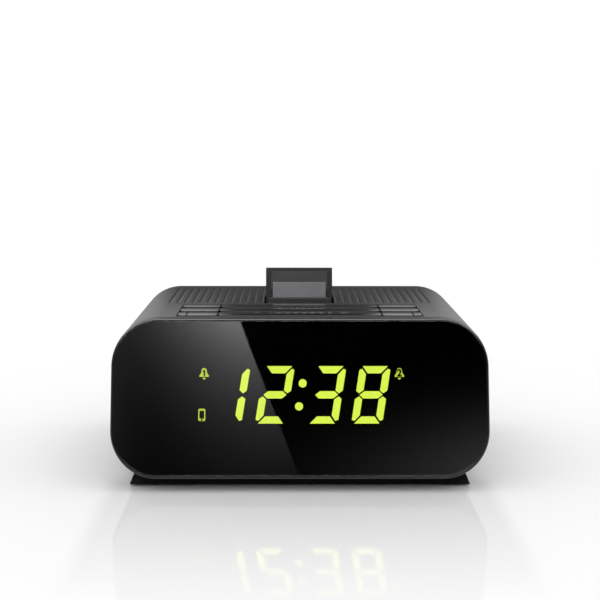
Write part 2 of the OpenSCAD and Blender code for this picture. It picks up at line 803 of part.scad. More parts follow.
module backup_cell() {
    color([0.8, 0.8, 0.82]) translate([door_x, door_y, base_floor_z + 2.1])
        cylinder(r = cell_r, h = cell_h);
}

module cell_holder() {
    color([0.12, 0.12, 0.13]) translate([door_x, door_y, 0]) difference() {
        translate([0, 0, base_floor_z + 2.5])
            cylinder(r = cell_r + fit_gap + holder_wall, h = board_z - base_floor_z - 2.5);
        translate([0, 0, base_floor_z])
            cylinder(r = cell_r + fit_gap, h = 2.1 + cell_h + 0.2);
    }
}

// ---- keys ----

// A key whose middle lies at x, in one row counted from the front. Its crown is a wide
// cylinder, its centre stem reaches a switch, and its collars hang under the key frame.
module key(x, row, w, stems, pegs) {
    y = key_y0 + row * key_pitch + key_d / 2;
    translate([x, y, 0]) {
        intersection() {
            translate([-w / 2, -key_d / 2, cap_z0]) cube([w, key_d, cap_h]);
            translate([0, 0, key_top_z - crown_r]) rotate([0, 90, 0])
                cylinder(r = crown_r, h = w + 2, center = true);
        }
        for (dx = stems) translate([dx, 0, 0]) {
            translate([0, 0, frame_z0 - collar_gap - collar_h])
                cylinder(r = stem_r, h = cap_z0 - frame_z0 + collar_gap + collar_h + 0.5);
            translate([0, 0, frame_z0 - collar_gap - collar_h])
                cylinder(r = stem_r + 0.6, h = collar_h);
        }
        translate([0, 0, tip_z]) cylinder(r = tip_r, h = frame_z0 - tip_z);
        for (dx = pegs) translate([dx, 0, frame_z0])
            cylinder(r = peg_r, h = cap_z0 - frame_z0 + 0.5);
    }
}

module side_key(side, row) {
    color([0.17, 0.17, 0.18]) key(side * side_key_x, row, side_key_w, [0], [side * peg_x]);
}

module middle_key(row) {
    color([0.17, 0.17, 0.18]) key(0, row, mid_key_w, [-outer_stem_x, 0, outer_stem_x], []);
}

// Calls children at every stem's place, with its row's middle as the origin.
module at_rows() {
    for (row = [0 : 2]) translate([0, key_y0 + row * key_pitch + key_d / 2, 0]) children();
}

module key_frame() {
    color([0.2, 0.2, 0.21]) difference() {
        union() {
            box([-frame_half_w, frame_y0, frame_z0], [frame_half_w, frame_y1, frame_z1]);
            for (x = [-1, 1], row = [1, 2])
                translate([x * key_post_x, key_y0 + row * key_pitch - key_gap / 2, tact_z0])
                    cylinder(r = key_post_r, h = frame_z0 - tact_z0 + 0.5);
        }
        at_rows() {
            for (x = [-side_key_x, -outer_stem_x, 0, outer_stem_x, side_key_x])
                translate([x, 0, 0]) cylinder(r = stem_r + stem_gap, h = reach);
            for (side = [-1, 1]) translate([side * (side_key_x + peg_x), 0, 0])
                cylinder(r = peg_r + stem_gap, h = reach);
        }
        for (x = [-1, 1], row = [1, 2])
            translate([x * key_post_x, key_y0 + row * key_pitch - key_gap / 2, tact_z0])
                screw_hole(4);
        for (x = [-1, 1], y = frame_boss_ys) translate([x * frame_boss_x, y, 0])
            cylinder(r = screw_r + screw_gap, h = reach);
    }
}

module key_frame_screws() {
    color([0.7, 0.7, 0.72]) for (x = [-1, 1], y = frame_boss_ys)
        translate([x * frame_boss_x, y, frame_z0]) screw(3.6);
}

module key_board() {
    color([0.1, 0.35, 0.2]) difference() {
        box([-key_block_w / 2, frame_y0 + 2.5, key_board_z0],
            [key_block_w / 2, frame_y1 - 0.4, tact_z0]);
        for (x = [-1, 1], row = [1, 2])
            translate([x * key_post_x, key_y0 + row * key_pitch - key_gap / 2, 0])
                cylinder(r = screw_r + screw_gap, h = reach);
    }
}

module key_board_screws() {
    color([0.7, 0.7, 0.72]) for (x = [-1, 1], row = [1, 2])
        translate([x * key_post_x, key_y0 + row * key_pitch - key_gap / 2, key_board_z0])
            screw(key_board_t + 3.5);
}

module tact_switches() {
    color([0.1, 0.1, 0.1]) at_rows() for (x = [-side_key_x, 0, side_key_x]) difference() {
        translate([x - tact_w / 2, -tact_w / 2, tact_z0]) cube([tact_w, tact_w, tact_h]);
        translate([x, 0, tip_z - key_travel - 0.3])
            cylinder(r = tip_r + tip_gap, h = reach);
    }
}

// ---- dock ----

// Places children in the dock's leaning frame.
module in_dock() {
    translate([0, dock_y, top_z]) rotate([-dock_lean, 0, 0]) children();
}

module dock_well() {
    color([0.1, 0.1, 0.1]) difference() {
        union() {
            difference() {
                box([-dock_half_w - well_wall, dock_opening_y0 - well_wall,
                        well_floor_z - well_wall],
                    [dock_half_w + well_wall, dock_opening_y1 + well_wall, ceiling_z - 0.1]);
                box([-dock_half_w, dock_opening_y0, well_floor_z],
                    [dock_half_w, dock_opening_y1, top_z]);
            }
            // ears under the cabinet's bosses
            for (side = [-1, 1], y = well_ear_ys) translate([0, y, well_ear_z - 1.7]) {
                translate([side * well_ear_x, 0, 0]) cylinder(r = boss_r, h = 1.6);
                translate([side * (dock_half_w + well_ear_x) / 2, 0, 0.8])
                    cube([well_ear_x - dock_half_w, 2 * boss_r, 1.6], center = true);
            }
            // bearings that centre the pod
            for (side = [-1, 1]) translate([side * (pod_w / 2 + 0.3), pivot_y, pivot_z])
                rotate([0, side * 90, 0]) cylinder(r = lug_r, h = pod_gap);
        }
        translate([0, pivot_y, pivot_z]) rotate([0, 90, 0])
            cylinder(r = pin_r + pin_gap, h = reach, center = true);
        for (side = [-1, 1], y = well_ear_ys) translate([side * well_ear_x, y, 0])
            cylinder(r = screw_r + screw_gap, h = reach);
        for (x = [-1, 1]) translate([x * rest_screw_x, rest_foot_y, 0])
            cylinder(r = screw_r + screw_gap, h = reach);
        // slot for the plug's ribbon
        translate([0, ribbon_y, well_floor_z])
            cube([ribbon_w + 1, 2, 3 * well_wall], center = true);
    }
}

module dock_pod() {
    color([0.12, 0.12, 0.13]) difference() {
        union() {
            in_dock() {
                along_x(pod_w) polygon([
                    [-pod_front, pod_top], [-pod_front, -3.6], [-pod_front + 0.6, -5],
                    [-pod_front + 0.6, pod_bottom], [pod_rear - 1.4, pod_bottom],
                    [pod_rear, -4], [pod_rear, pod_top]]);
                translate([0, 0, (pod_top - 0.5 + pod_top + shoulder_h) / 2])
                    cube([plug_w + 2, plug_t + 2.2, shoulder_h + 0.5], center = true);
                translate([0, pivot_v, pivot_w]) rotate([0, 90, 0])
                    cylinder(r = lug_r, h = pod_w, center = true);
                along_x(pod_w) polygon([[pivot_v - lug_r, pivot_w], [pivot_v + lug_r, pivot_w],
                    [pivot_v + lug_r, pod_bottom + 0.5], [pivot_v - lug_r, pod_bottom + 0.5]]);
            }
        }
        in_dock() {
            translate([0, pivot_v, pivot_w]) rotate([0, 90, 0])
                cylinder(r = pin_r + pin_gap, h = reach, center = true);
            translate([-plug_w / 2 - 0.1, -plug_t / 2 - 0.1, plug_seat])
                cube([plug_w + 0.2, plug_t + 0.2, 10]);
        }
        translate([0, spring_y, well_floor_z])
            cylinder(r = spring_r + spring_wire + 0.5, h = spring_seat_z - well_floor_z);
    }
}

module dock_plug() {
    skin = 0.3;
    color([0.75, 0.75, 0.77]) in_dock() difference() {
        translate([-plug_w / 2, -plug_t / 2, plug_seat])
            cube([plug_w, plug_t, pod_top + shoulder_h + plug_h - plug_seat]);
        translate([-plug_w / 2 + skin, -plug_t / 2 + skin, plug_seat + 1])
            cube([plug_w - 2 * skin, plug_t - 2 * skin, 20]);
    }
}

module plug_contacts() {
    tongue_w = plug_w - 1.4;
    count = 15;
    step = (tongue_w - 1.2) / count;
    color([0.15, 0.15, 0.15]) in_dock() difference() {
        translate([-tongue_w / 2, -0.4, plug_seat + 1])
            cube([tongue_w, 0.8, pod_top + shoulder_h + plug_h - plug_seat - 1.6]);
        for (i = [0 : count - 1])
            translate([-tongue_w / 2 + 0.6 + (i + 0.25) * step, 0.25, pod_top])
                cube([step / 2, 1, 20]);
    }
}

module dock_pin() {
    color([0.7, 0.7, 0.72]) translate([0, pivot_y, pivot_z]) rotate([0, 90, 0])
        cylinder(r = pin_r, h = 2 * (dock_half_w + well_wall + 0.4), center = true);
}

// A ring of points round a point of the spring's helix.
function coil_ring(turn, z) =
    [for (k = [0 : 7]) let (a = 45 * k, r = spring_r + spring_wire / 2 * cos(a))
        [r * cos(turn), r * sin(turn), z + spring_wire / 2 * sin(a)]];

module dock_spring() {
    rings = spring_turns * 20;
    z0 = well_floor_z + spring_wire / 2 + 0.05;
    z1 = spring_seat_z - spring_wire / 2 - 0.05;
    points = [for (i = [0 : rings])
        each coil_ring(18 * i, z0 + (z1 - z0) * i / rings)];
    sides = [for (i = [0 : rings - 1], k = [0 : 7])
        [8 * i + k, 8 * i + (k + 1) % 8, 8 * (i + 1) + (k + 1) % 8, 8 * (i + 1) + k]];
    ends = [[for (k = [7 : -1 : 0]) k], [for (k = [0 : 7]) 8 * rings + k]];
    color([0.7, 0.7, 0.72]) translate([0, spring_y, 0])
        polyhedron(points, concat(sides, ends), convexity = 6);
}

module back_rest() {
    color([0.12, 0.12, 0.13]) difference() {
        intersection() {
            in_dock() translate([-rest_w / 2, rest_front, -20])
                cube([rest_w, rest_t, 20 + rest_h + rest_front * tan(dock_lean)]);
            box([-reach / 2, 0, well_floor_z], [reach / 2, reach, reach]);
        }
        for (x = [-1, 1]) translate([x * rest_screw_x, rest_foot_y, well_floor_z]) screw_hole(4);
    }
}

module rest_pad() {
    color([0.05, 0.05, 0.05]) in_dock()
        translate([-rest_w / 2 + 2, rest_front - pad_t, rest_front * tan(dock_lean) + 2.5])
            cube([rest_w - 4, pad_t, rest_h - 4]);
}

module dock_screws() {
    color([0.7, 0.7, 0.72]) {
        for (x = [-1, 1], y = well_ear_ys) translate([x * well_ear_x, y, well_ear_z - 1.7])
            screw(6);
        for (x = [-1, 1]) translate([x * rest_screw_x, rest_foot_y, well_floor_z - well_wall])
            screw(well_wall + 3.6);
    }
}

// ---- main board ----

module main_board() {
    color([0.1, 0.35, 0.2]) difference() {
        union() {
            box([-board_half_w, board_y0, board_z], [board_half_w, board_y1, board_top_z]);
            box([board_tab_x0, board_y1 - 1, board_z],
                [board_half_w - 2, board_tab_y1, board_top_z]);
        }
        for (x = [-1, 1], y = board_post_ys) translate([x * board_post_x, y, 0])
            cylinder(r = screw_r + screw_gap, h = reach);
    }
}

module main_board_screws() {
    color([0.7, 0.7, 0.72]) for (x = [-1, 1], y = board_post_ys)
        translate([x * board_post_x, y, board_top_z]) rotate([180, 0, 0]) screw(board_t + 6);
}

// A rectangular part that stands on the main board, its middle at x, y.
module on_board(x, y, size) {
    translate([x - size.x / 2, y - size.y / 2, board_top_z]) cube(size);
}

module tuner_can() {
    x = tuner_size.x / 2 + screw_head_r + 1 - board_post_x;
    color([0.75, 0.75, 0.77]) difference() {
        on_board(x, tuner_y, tuner_size);
        for (side = [-1 : 1])
            translate([x + side * tuner_size.x / 3, tuner_y, board_top_z + tuner_size.z])
                cylinder(r = trim_hole_r, h = 3, center = true);
    }
}

module clock_chip() {
    color([0.08, 0.08, 0.08]) {
        on_board(0, chip_y, [chip_w, chip_w, chip_h]);
        for (i = [-5 : 5], side = [-1, 1])
            on_board(i * chip_w / 12, chip_y + side * (chip_w / 2 + chip_h / 2 - 0.2),
                [0.4, chip_h - 0.4, 0.4]);
    }
}

module amplifier_chip() {
    color([0.08, 0.08, 0.08])
        on_board(amplifier_x, sink_y - (sink_t + amplifier_size.y) / 2, amplifier_size);
}

// A plate with upright fins, which stands behind the amplifier chip.
module heat_sink() {
    color([0.6, 0.6, 0.62]) {
        on_board(amplifier_x, sink_y, [sink_size.x, sink_t, sink_size.z]);
        for (i = [-4 : 4])
            on_board(amplifier_x + i * (sink_size.x - fin_t) / 8.5, sink_y + sink_size.y / 2,
                [fin_t, sink_size.y, sink_size.z]);
    }
}

// Each capacitor's middle, radius and height.
capacitor_spots = [
    [12.5 - board_half_w, board_y1 - 9, 3.6, 11], [23 - board_half_w, board_y1 - 7, 5, 15],
    [12, board_y1 - 8, 4, 12], [21.5, board_y1 - 9, 3.2, 9]];

module capacitors() {
    color([0.15, 0.2, 0.35]) for (spot = capacitor_spots)
        translate([spot[0], spot[1], board_top_z]) difference() {
            cylinder(r = spot[2], h = spot[3]);
            translate([0, 0, 1.6]) difference() {
                cylinder(r = spot[2] + 1, h = 0.8);
                cylinder(r = spot[2] - 0.3, h = 0.8);
            }
        }
}

module audio_socket() {
    color([0.08, 0.08, 0.08]) difference() {
        union() {
            box([audio_x - 3.4, jack_nose_y - audio_bore_l - 2, board_top_z],
                [audio_x + 3.4, rear_in_y - 0.3, jack_z + 3.2]);
            rod_y(audio_x, jack_z, audio_nose_r, rear_in_y - 1, jack_nose_y);
        }
        rod_y(audio_x, jack_z, audio_bore_r, jack_nose_y - audio_bore_l, jack_nose_y + 1);
    }
}

module power_inlet() {
    depth = 10;
    color([0.08, 0.08, 0.08]) {
        difference() {
            union() {
                box([power_x - 4.5, jack_nose_y - depth - 3.5, board_top_z],
                    [power_x + 4.5, rear_in_y - 0.3, power_z + 5]);
                rod_y(power_x, power_z, power_nose_r, rear_in_y - 1, jack_nose_y);
            }
            rod_y(power_x, power_z, power_bore_r, jack_nose_y - depth, jack_nose_y + 1);
        }
        rod_y(power_x, power_z, 1, jack_nose_y - depth - 0.5, jack_nose_y - 1);
    }
}

// A flanged rubber gland, closed by a thin skin until an aerial wire is fitted.
module aerial_gland() {
    color([0.05, 0.05, 0.05]) difference() {
        union() {
            rod_y(aerial_x, jack_z, aerial_r, rear_in_y - 0.05, rear_y);
            rod_y(aerial_x, jack_z, aerial_r + 1, rear_in_y - 1.2, rear_in_y);
        }
        rod_y(aerial_x, jack_z, 0.8, rear_y - 2, rear_y + 1);
    }
}

// ---- loudspeaker ----

module speaker_frame() {
    color([0.25, 0.25, 0.26]) difference() {
        union() {
            intersection() {
                translate([-speaker_x, flange_y - speaker_t / 2, mid_z])
                    cube([speaker_w, speaker_t, speaker_w], center = true);
                body_bar(speaker_inset, basket_y, rear_y);
            }
            translate([-speaker_x, flange_y - 0.5, mid_z]) rotate([90, 0, 0])
                cylinder(r1 = cone_r + 2, r2 = magnet_r, h = basket_h + speaker_t - 0.5);
        }
        translate([-speaker_x, flange_y + 0.01, mid_z]) rotate([90, 0, 0])
            cylinder(r1 = cone_r, r2 = magnet_r - 2, h = basket_h + speaker_t - 2);
        at_speaker_holes() rod_y(0, 0, screw_r + screw_gap, flange_y - speaker_t - 6,
            flange_y + 1);
    }
}

module speaker_cone() {
    color([0.1, 0.1, 0.1]) translate([-speaker_x, flange_y, mid_z]) rotate([90, 0, 0])
        difference() {
            union() {
                cylinder(r1 = cone_r - 0.4, r2 = 6, h = 8);
                cylinder(r = 6, h = basket_h + speaker_t - 2.2);
            }
            translate([0, 0, -0.01]) cylinder(r1 = cone_r - 1.2, r2 = 5, h = 7);
        }
}

module speaker_magnet() {
    color([0.3, 0.3, 0.32]) rod_y(-speaker_x, mid_z, magnet_r, basket_y - magnet_h, basket_y);
}

module speaker_gasket() {
    color([0.06, 0.06, 0.06]) difference() {
        rod_y(-speaker_x, mid_z, cone_r + 2, flange_y, rear_in_y);
        rod_y(-speaker_x, mid_z, cone_r, flange_y - 1, rear_in_y + 1);
    }
}

module speaker_screws() {
    color([0.7, 0.7, 0.72]) at_speaker_holes() translate([0, flange_y - speaker_t, 0])
        rotate([-90, 0, 0]) screw(speaker_t + gasket_t + 1.8);
}

// ---- inside wiring ----

// A flat strip, w wide, along Y-Z points. Its thickness lies to the back, and above or below.
module strip(x, w, points, rise) {
    thick = ribbon_t * [cos(45), rise * sin(45)];
    translate([x, 0, 0]) along_x(w) polygon(concat(points,
        [for (i = [len(points) - 1 : -1 : 0]) points[i] + thick]));
}

// A point behind the panel, in Y and Z: s up the panel, t behind its face.
function panel_point(s, t) = [front_y + s * sin(front_tilt) + t * cos(front_tilt),
    underside_z + s * cos(front_tilt) - t * sin(front_tilt)];

module display_ribbon() {
    start = panel_point(display_s - display_board_h / 2 + 3, board_back + 0.1);
    color([0.75, 0.75, 0.7]) strip(0, 14, [start, [board_y0 - 4, board_z + 5],
        [board_y0 + 1, board_z + 4.4], [board_y0 + 2.6, board_z + 3],
        [board_y0 + 3, board_top_z + 0.1]], 1);
}

module key_ribbon() {
    color([0.75, 0.75, 0.7]) strip(-14, 12, [[frame_y1 - 3, key_board_z0 - ribbon_t],
        [frame_y1 - 2.6, 34], [frame_y1, 24], [frame_y1, board_top_z + 0.1]], 1);
}

module dock_ribbon() {
    color([0.75, 0.75, 0.7]) strip(0, ribbon_w, [
        [ribbon_y, pivot_z - lug_r - ribbon_t - 0.2], [ribbon_y, 34], [ribbon_y + 2, 24],
        [ribbon_y + 2, board_top_z + 0.1]], 1);
}

module speaker_wires() {
    color([0.6, 0.1, 0.1]) for (side = [0, 1])
        strip(-speaker_x + speaker_w / 2 - 3.5 + 1.5 * side, 1, [
            [board_y1 - 1.5, board_top_z + 0.5], [board_y1 - 1.5, board_top_z + 3],
            [board_y1 + 3, board_top_z + 7], [flange_y - speaker_t - 5, mid_z - 9],
            [flange_y - speaker_t - 0.5, mid_z - 7]], -1);
}

front_lens();
display_mask();
front_bezel();
led_block();
digit_segments();
icon_cells();
display_board();
display_screws();
cabinet();
rear_cover();
rear_screws();
bottom_cover();
bottom_screws();
rubber_feet();
side_key(-1, 0);  // key_front_left
middle_key(0);  // key_front_middle
side_key(1, 0);  // key_front_right
side_key(-1, 1);  // key_centre_left
middle_key(1);  // key_centre_middle
side_key(1, 1);  // key_centre_right
side_key(-1, 2);  // key_back_left
middle_key(2);  // key_back_middle
side_key(1, 2);  // key_back_right
key_frame();
key_frame_screws();
key_board();
tact_switches();
key_board_screws();
dock_well();
dock_screws();
dock_pod();
dock_plug();
plug_contacts();
dock_pin();
dock_spring();
back_rest();
rest_pad();
main_board();
main_board_screws();
tuner_can();
clock_chip();
amplifier_chip();
heat_sink();
capacitors();
audio_socket();
power_inlet();
aerial_gland();
speaker_frame();
speaker_cone();
speaker_magnet();
speaker_gasket();
speaker_screws();
speaker_wires();
display_ribbon();
key_ribbon();
dock_ribbon();
backup_cell();
cell_holder();
battery_door();
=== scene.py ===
"""Looks of a docking clock radio: a rounded satin cabinet with a leaning gloss panel, a lime
display, nine crowned keys, a softly ribbed top and a small rocking dock.

Pieces are modelled in millimetres, with X to the right, Y to the back and Z up, and are brought
to the frame's metres when they are finished."""

import json
import math
from contextlib import contextmanager

import bmesh
import bpy
from mathutils import Euler, Matrix, Vector

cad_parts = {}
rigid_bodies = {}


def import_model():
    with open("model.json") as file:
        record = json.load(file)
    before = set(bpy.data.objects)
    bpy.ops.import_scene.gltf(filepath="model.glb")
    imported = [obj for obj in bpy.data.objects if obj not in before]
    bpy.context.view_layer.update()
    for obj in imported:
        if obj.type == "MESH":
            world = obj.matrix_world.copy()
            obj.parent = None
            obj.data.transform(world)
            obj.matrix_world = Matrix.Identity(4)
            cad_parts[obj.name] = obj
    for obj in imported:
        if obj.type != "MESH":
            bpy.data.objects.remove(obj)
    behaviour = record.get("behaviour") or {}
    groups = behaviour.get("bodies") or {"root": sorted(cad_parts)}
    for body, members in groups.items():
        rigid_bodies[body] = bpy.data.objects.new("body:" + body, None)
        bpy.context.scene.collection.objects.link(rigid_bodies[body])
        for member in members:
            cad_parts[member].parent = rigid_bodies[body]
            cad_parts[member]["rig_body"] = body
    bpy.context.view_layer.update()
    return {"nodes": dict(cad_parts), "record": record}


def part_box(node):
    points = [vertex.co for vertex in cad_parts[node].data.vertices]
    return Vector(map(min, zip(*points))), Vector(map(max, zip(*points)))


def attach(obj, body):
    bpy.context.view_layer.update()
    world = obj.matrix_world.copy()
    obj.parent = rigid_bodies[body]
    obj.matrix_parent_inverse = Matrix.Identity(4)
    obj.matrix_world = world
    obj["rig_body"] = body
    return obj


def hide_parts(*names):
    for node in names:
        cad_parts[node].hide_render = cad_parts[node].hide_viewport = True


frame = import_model()

MM = 0.001


def box_mm(node):
    """Lowest and highest corner of a frame node, in millimetres."""
    low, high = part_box(node)
    return low / MM, high / MM


# ---- main sizes, in millimetres ----

FRONT_TILT = math.radians(14.4)
DOCK_LEAN = math.radians(14.5)

# Cabinet: OVERLAP is how far the shell and the bosses inside it run into each other.
CORNER_R = 16
CORNER_SEGMENTS = 24
WALL = 2.2
SKIN = 0.7
OVERLAP = 0.1
SHELL_EDGE_R = 0.2
GROOVE_EDGE_R = 0.1
DOCK_SIDE_GAP = 1.5
WELL_WALL = 1.6

# Panel: T is a thickness; GROOVE lies between the bezel and the cabinet.
BEZEL_T = 3.1
GROOVE = 1.2
RIM = 0.7
RIM_LAND = 0.12
RIM_INNER_R = 0.06
LENS_T = 2.2
LENS_CHAMFER = 0.15
LENS_GAP = 0.1
INK_GAP = 0.05
MASK_T = 0.4
PLATE_LAP = 0.3
PLATE_INSET = 2.0

# Keys: the crown is a round of CROWN_R whose ridge lies CROWN_Y behind a key's front.
CAP_H = 3.4
KEY_GAP = 0.4
KEY_END_GAP = 0.5
KEY_CORNER_R = 1.0
KEY_EDGE_R = 0.22
KEY_WIDENING = 0.22
CROWN_R = 24
CROWN_Y = 3.8
CROWN_SEGMENTS = 360
LINE_X = 39.8
LINE_W = 0.5
LINE_DEPTH = 1.2
PRINT_T = 0.03

# Ribs: RIB_VALLEY widens the grooves; they rise to the plain top over RIB_FADE.
RIB_PITCH = 2.88
RIB_DEPTH = 0.45
RIB_START = 2.6
RIB_END = 2.4
RIB_FADE = 3.5
RIB_VALLEY = 0.3
RIB_STEPS = 16
RIB_LIFT = 0.02
RIB_CUTTER_T = 2

# Cutters stand CLEAR of what they cut. A point within ON_PLANE lies on a plane, and one
# within ON_INSET lies on an inset of the outline.
CLEAR = 3
ON_PLANE = 0.01
ON_INSET = 0.05
SMOOTH_ANGLE = math.radians(35)

REAR_LOW, REAR_HIGH = box_mm("rear_cover")
HALF_W = REAR_HIGH.x
REAR_Y = REAR_HIGH.y
BASE_Z = REAR_LOW.z
TOP_Z = REAR_HIGH.z
MID_Z = (BASE_Z + TOP_Z) / 2
FRONT_Y = box_mm("front_bezel")[0].y
JOINT_Y = box_mm("cabinet")[1].y
FLAT_HALF_W = HALF_W - CORNER_R
PANEL_UP = Vector((0, math.sin(FRONT_TILT), math.cos(FRONT_TILT)))
PANEL_OUT = Vector((0, -math.cos(FRONT_TILT), math.sin(FRONT_TILT)))
PANEL_FOOT = Vector((0, FRONT_Y, BASE_Z))
FAR_FRONT = FRONT_Y - 20
FAR_BEHIND_PANEL = FRONT_Y + 60
FAR_ABOVE = TOP_Z + 5
DOCK_UP = Vector((0, math.sin(DOCK_LEAN), math.cos(DOCK_LEAN)))
DOCK_OUT = Vector((0, -math.cos(DOCK_LEAN), math.sin(DOCK_LEAN)))
FLAT_WAYS = (Vector((1, 0, 0)), Vector((0, 1, 0)), Vector((0, 0, 1)), PANEL_UP, PANEL_OUT,
             DOCK_UP, DOCK_OUT)


def on_panel(x, up, behind):
    """A point given across the panel, up the panel and behind its face."""
    return PANEL_FOOT + Vector((x, 0, 0)) + PANEL_UP * up - PANEL_OUT * behind


def behind_panel(point):
    """How far a point lies behind the panel's face."""
    return -(point - PANEL_FOOT).dot(PANEL_OUT)


def inside_outline(point):
    """How far a point lies inside the cabinet's rounded outline."""
    across = abs(point.x) - FLAT_HALF_W
    along = abs(point.z - MID_Z) - ((TOP_Z - BASE_Z) / 2 - CORNER_R)
    outside = Vector((max(across, 0), max(along, 0))).length
    return CORNER_R - outside - min(max(across, along), 0)


# ---- modelling tools ----

def only(*pieces):
    """Selects these pieces alone; the first is the active one."""
    if bpy.context.object and bpy.context.object.mode != "OBJECT":
        bpy.ops.object.mode_set(mode="OBJECT")
    bpy.ops.object.select_all(action="DESELECT")
    for piece in pieces:
        piece.select_set(True)
    bpy.context.view_layer.objects.active = pieces[0]


@contextmanager
def editing(piece, kind="FACE"):
    """Edit mode on one piece, with nothing selected."""
    only(piece)
    bpy.ops.object.mode_set(mode="EDIT")
    bpy.ops.mesh.select_mode(type=kind)
    bpy.ops.mesh.select_all(action="DESELECT")
    yield bmesh.from_edit_mesh(piece.data)
    bpy.ops.object.mode_set(mode="OBJECT")


def pick(mesh, kind, test):
    """Selects the faces, edges or verts of an edited mesh that pass a test."""
    for item in getattr(mesh, kind):
        if test(item):
            item.select_set(True)
    mesh.select_flush_mode()


def freeze(piece):
    """Applies a piece's place, turn and size to its mesh."""
    only(piece)
    bpy.ops.object.transform_apply(location=True, rotation=True, scale=True)
    return piece


def block(name, low, high):
    """A box from its lowest to its highest corner."""
    low, high = Vector(low), Vector(high)
    bpy.ops.mesh.primitive_cube_add(size=1, location=(low + high) / 2)
    piece = bpy.context.object
    piece.name = name
    piece.scale = high - low
    return freeze(piece)


def rod(name, start, end, radius, segments):
    """A round rod from one point to another."""
    start, end = Vector(start), Vector(end)
    bpy.ops.mesh.primitive_cylinder_add(vertices=segments, radius=radius,
                                        depth=(end - start).length,
                                        location=(start + end) / 2)
    piece = bpy.context.object
    piece.name = name
    piece.rotation_euler = (end - start).to_track_quat("Z", "Y").to_euler()
    return freeze(piece)


def bevel_edges(piece, test, width, segments=3):
    """Rounds the edges that pass a test."""
    with editing(piece, "EDGE") as mesh:
        pick(mesh, "edges", test)
        bpy.ops.mesh.bevel(offset=width, offset_type="OFFSET", segments=segments,
                           affect="EDGES", clamp_overlap=False)


def runs_along(axis):
    """A test for edges that run along X, Y or Z."""
    others = [k for k in range(3) if k != axis]

    def test(edge):
        a, b = (v.co for v in edge.verts)
        return all(abs(a[k] - b[k]) < 1e-3 for k in others) and abs(a[axis] - b[axis]) > 1e-3
    return test


def slice_off(piece, point, outward):
    """Cuts away what lies beyond a plane and closes the cut."""
    with editing(piece):
        bpy.ops.mesh.select_all(action="SELECT")
        bpy.ops.mesh.bisect(plane_co=point, plane_no=outward, use_fill=True,
                            clear_outer=True, threshold=1e-5)


def apply_modifier(piece, kind, **settings):
    """Adds a modifier, sets it and applies it."""
    only(piece)
    modifier = piece.modifiers.new(kind.lower(), kind)
    for key, value in settings.items():
        setattr(modifier, key, value)
    bpy.ops.object.modifier_apply(modifier=modifier.name)


def combine(piece, others, operation):
    """Combines a piece with other solids, which are used up."""
    for other in others:
        apply_modifier(piece, "BOOLEAN", operation=operation, object=other, solver="EXACT")
        bpy.data.objects.remove(other)
    return piece


def carve(piece, *cutters):
    """Takes the cutters' shapes out of a piece."""
    return combine(piece, cutters, "DIFFERENCE")


def meet(piece, *others):
    """Keeps what a piece shares with other solids."""
    return combine(piece, others, "INTERSECT")


def weld(piece, *others):
    """Grows solids together into one piece."""
    return combine(piece, others, "UNION")


def gather(name, pieces):
    """Joins separate solids under one name."""
    only(*pieces)
    if len(pieces) > 1:
        bpy.ops.object.join()
    pieces[0].name = name
    return pieces[0]


def tidy_mesh(piece):
    """Merges doubles and joins the flat faces that cuts have left in pieces."""
    with editing(piece):
        bpy.ops.mesh.select_all(action="SELECT")
        bpy.ops.mesh.remove_doubles(threshold=1e-3)
        bpy.ops.mesh.dissolve_limited(angle_limit=math.radians(0.4))


def lies_flat(face):
    """A test for faces that lie square, or along the panel or the dock."""
    return max(abs(face.normal.dot(way)) for way in FLAT_WAYS) > 0.99999


def strengthen(piece, test):
    """Marks faces as strong, so that smoothing their rounded edges leaves them alone."""
    with editing(piece) as mesh:
        pick(mesh, "faces", test)
        bpy.ops.mesh.mod_weighted_strength(set=True, face_strength="STRONG")


def finish(piece, body, material, replaces=(), strong=lies_flat):
    """Brings a piece to metres, smooths it, gives it its material and joins it to a body."""
    strengthen(piece, strong)
    piece.data.transform(Matrix.Scale(MM, 4))
    only(piece)
    bpy.ops.object.shade_smooth_by_angle(angle=SMOOTH_ANGLE)
    apply_modifier(piece, "WEIGHTED_NORMAL", keep_sharp=True, use_face_influence=True)
    piece.data.materials.clear()
    piece.data.materials.append(material)
    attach(piece, body)
    if replaces:
        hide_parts(*replaces)
    return piece


def body_of(node):
    """The body that carries a frame node."""
    return frame["nodes"][node]["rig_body"]


def copy_of(node, name):
    """A merged copy of a frame node's mesh, in millimetres."""
    piece = bpy.data.objects.new(name, frame["nodes"][node].data.copy())
    bpy.context.scene.collection.objects.link(piece)
    piece.data.transform(Matrix.Scale(1 / MM, 4))
    piece.data.materials.clear()
    tidy_mesh(piece)
    return piece


def dressed(node, material, width):
    """A frame node with its sharp edges rounded as a moulding's are."""
    piece = copy_of(node, node + "_finished")
    apply_modifier(piece, "BEVEL", width=width, segments=2, limit_method="ANGLE",
                   angle_limit=math.radians(50), use_clamp_overlap=False)
    return finish(piece, body_of(node), material, [node])


# ---- material tools ----

def put(tree, kind, settings=None, inputs=None):
    """Adds a node; an input takes a value or the output that feeds it."""
    node = tree.nodes.new(kind)
    for key, value in (settings or {}).items():
        setattr(node, key, value)
    for key, value in (inputs or {}).items():
        if isinstance(value, bpy.types.NodeSocket):
            tree.links.new(value, node.inputs[key])
        else:
            node.inputs[key].default_value = value
    return node


def maths(tree, operation, *values):
    """One sum on values or outputs."""
    inputs = dict(enumerate(values))
    return put(tree, "ShaderNodeMath", {"operation": operation}, inputs).outputs[0]


def noise(tree, where, scale, detail=3, roughness=0.5):
    """Soft noise of about 0 to 1 at a place; its scale is how many swells go to a metre."""
    inputs = {"Vector": where, "Scale": scale, "Detail": detail, "Roughness": roughness}
    return put(tree, "ShaderNodeTexNoise", None, inputs).outputs["Fac"]


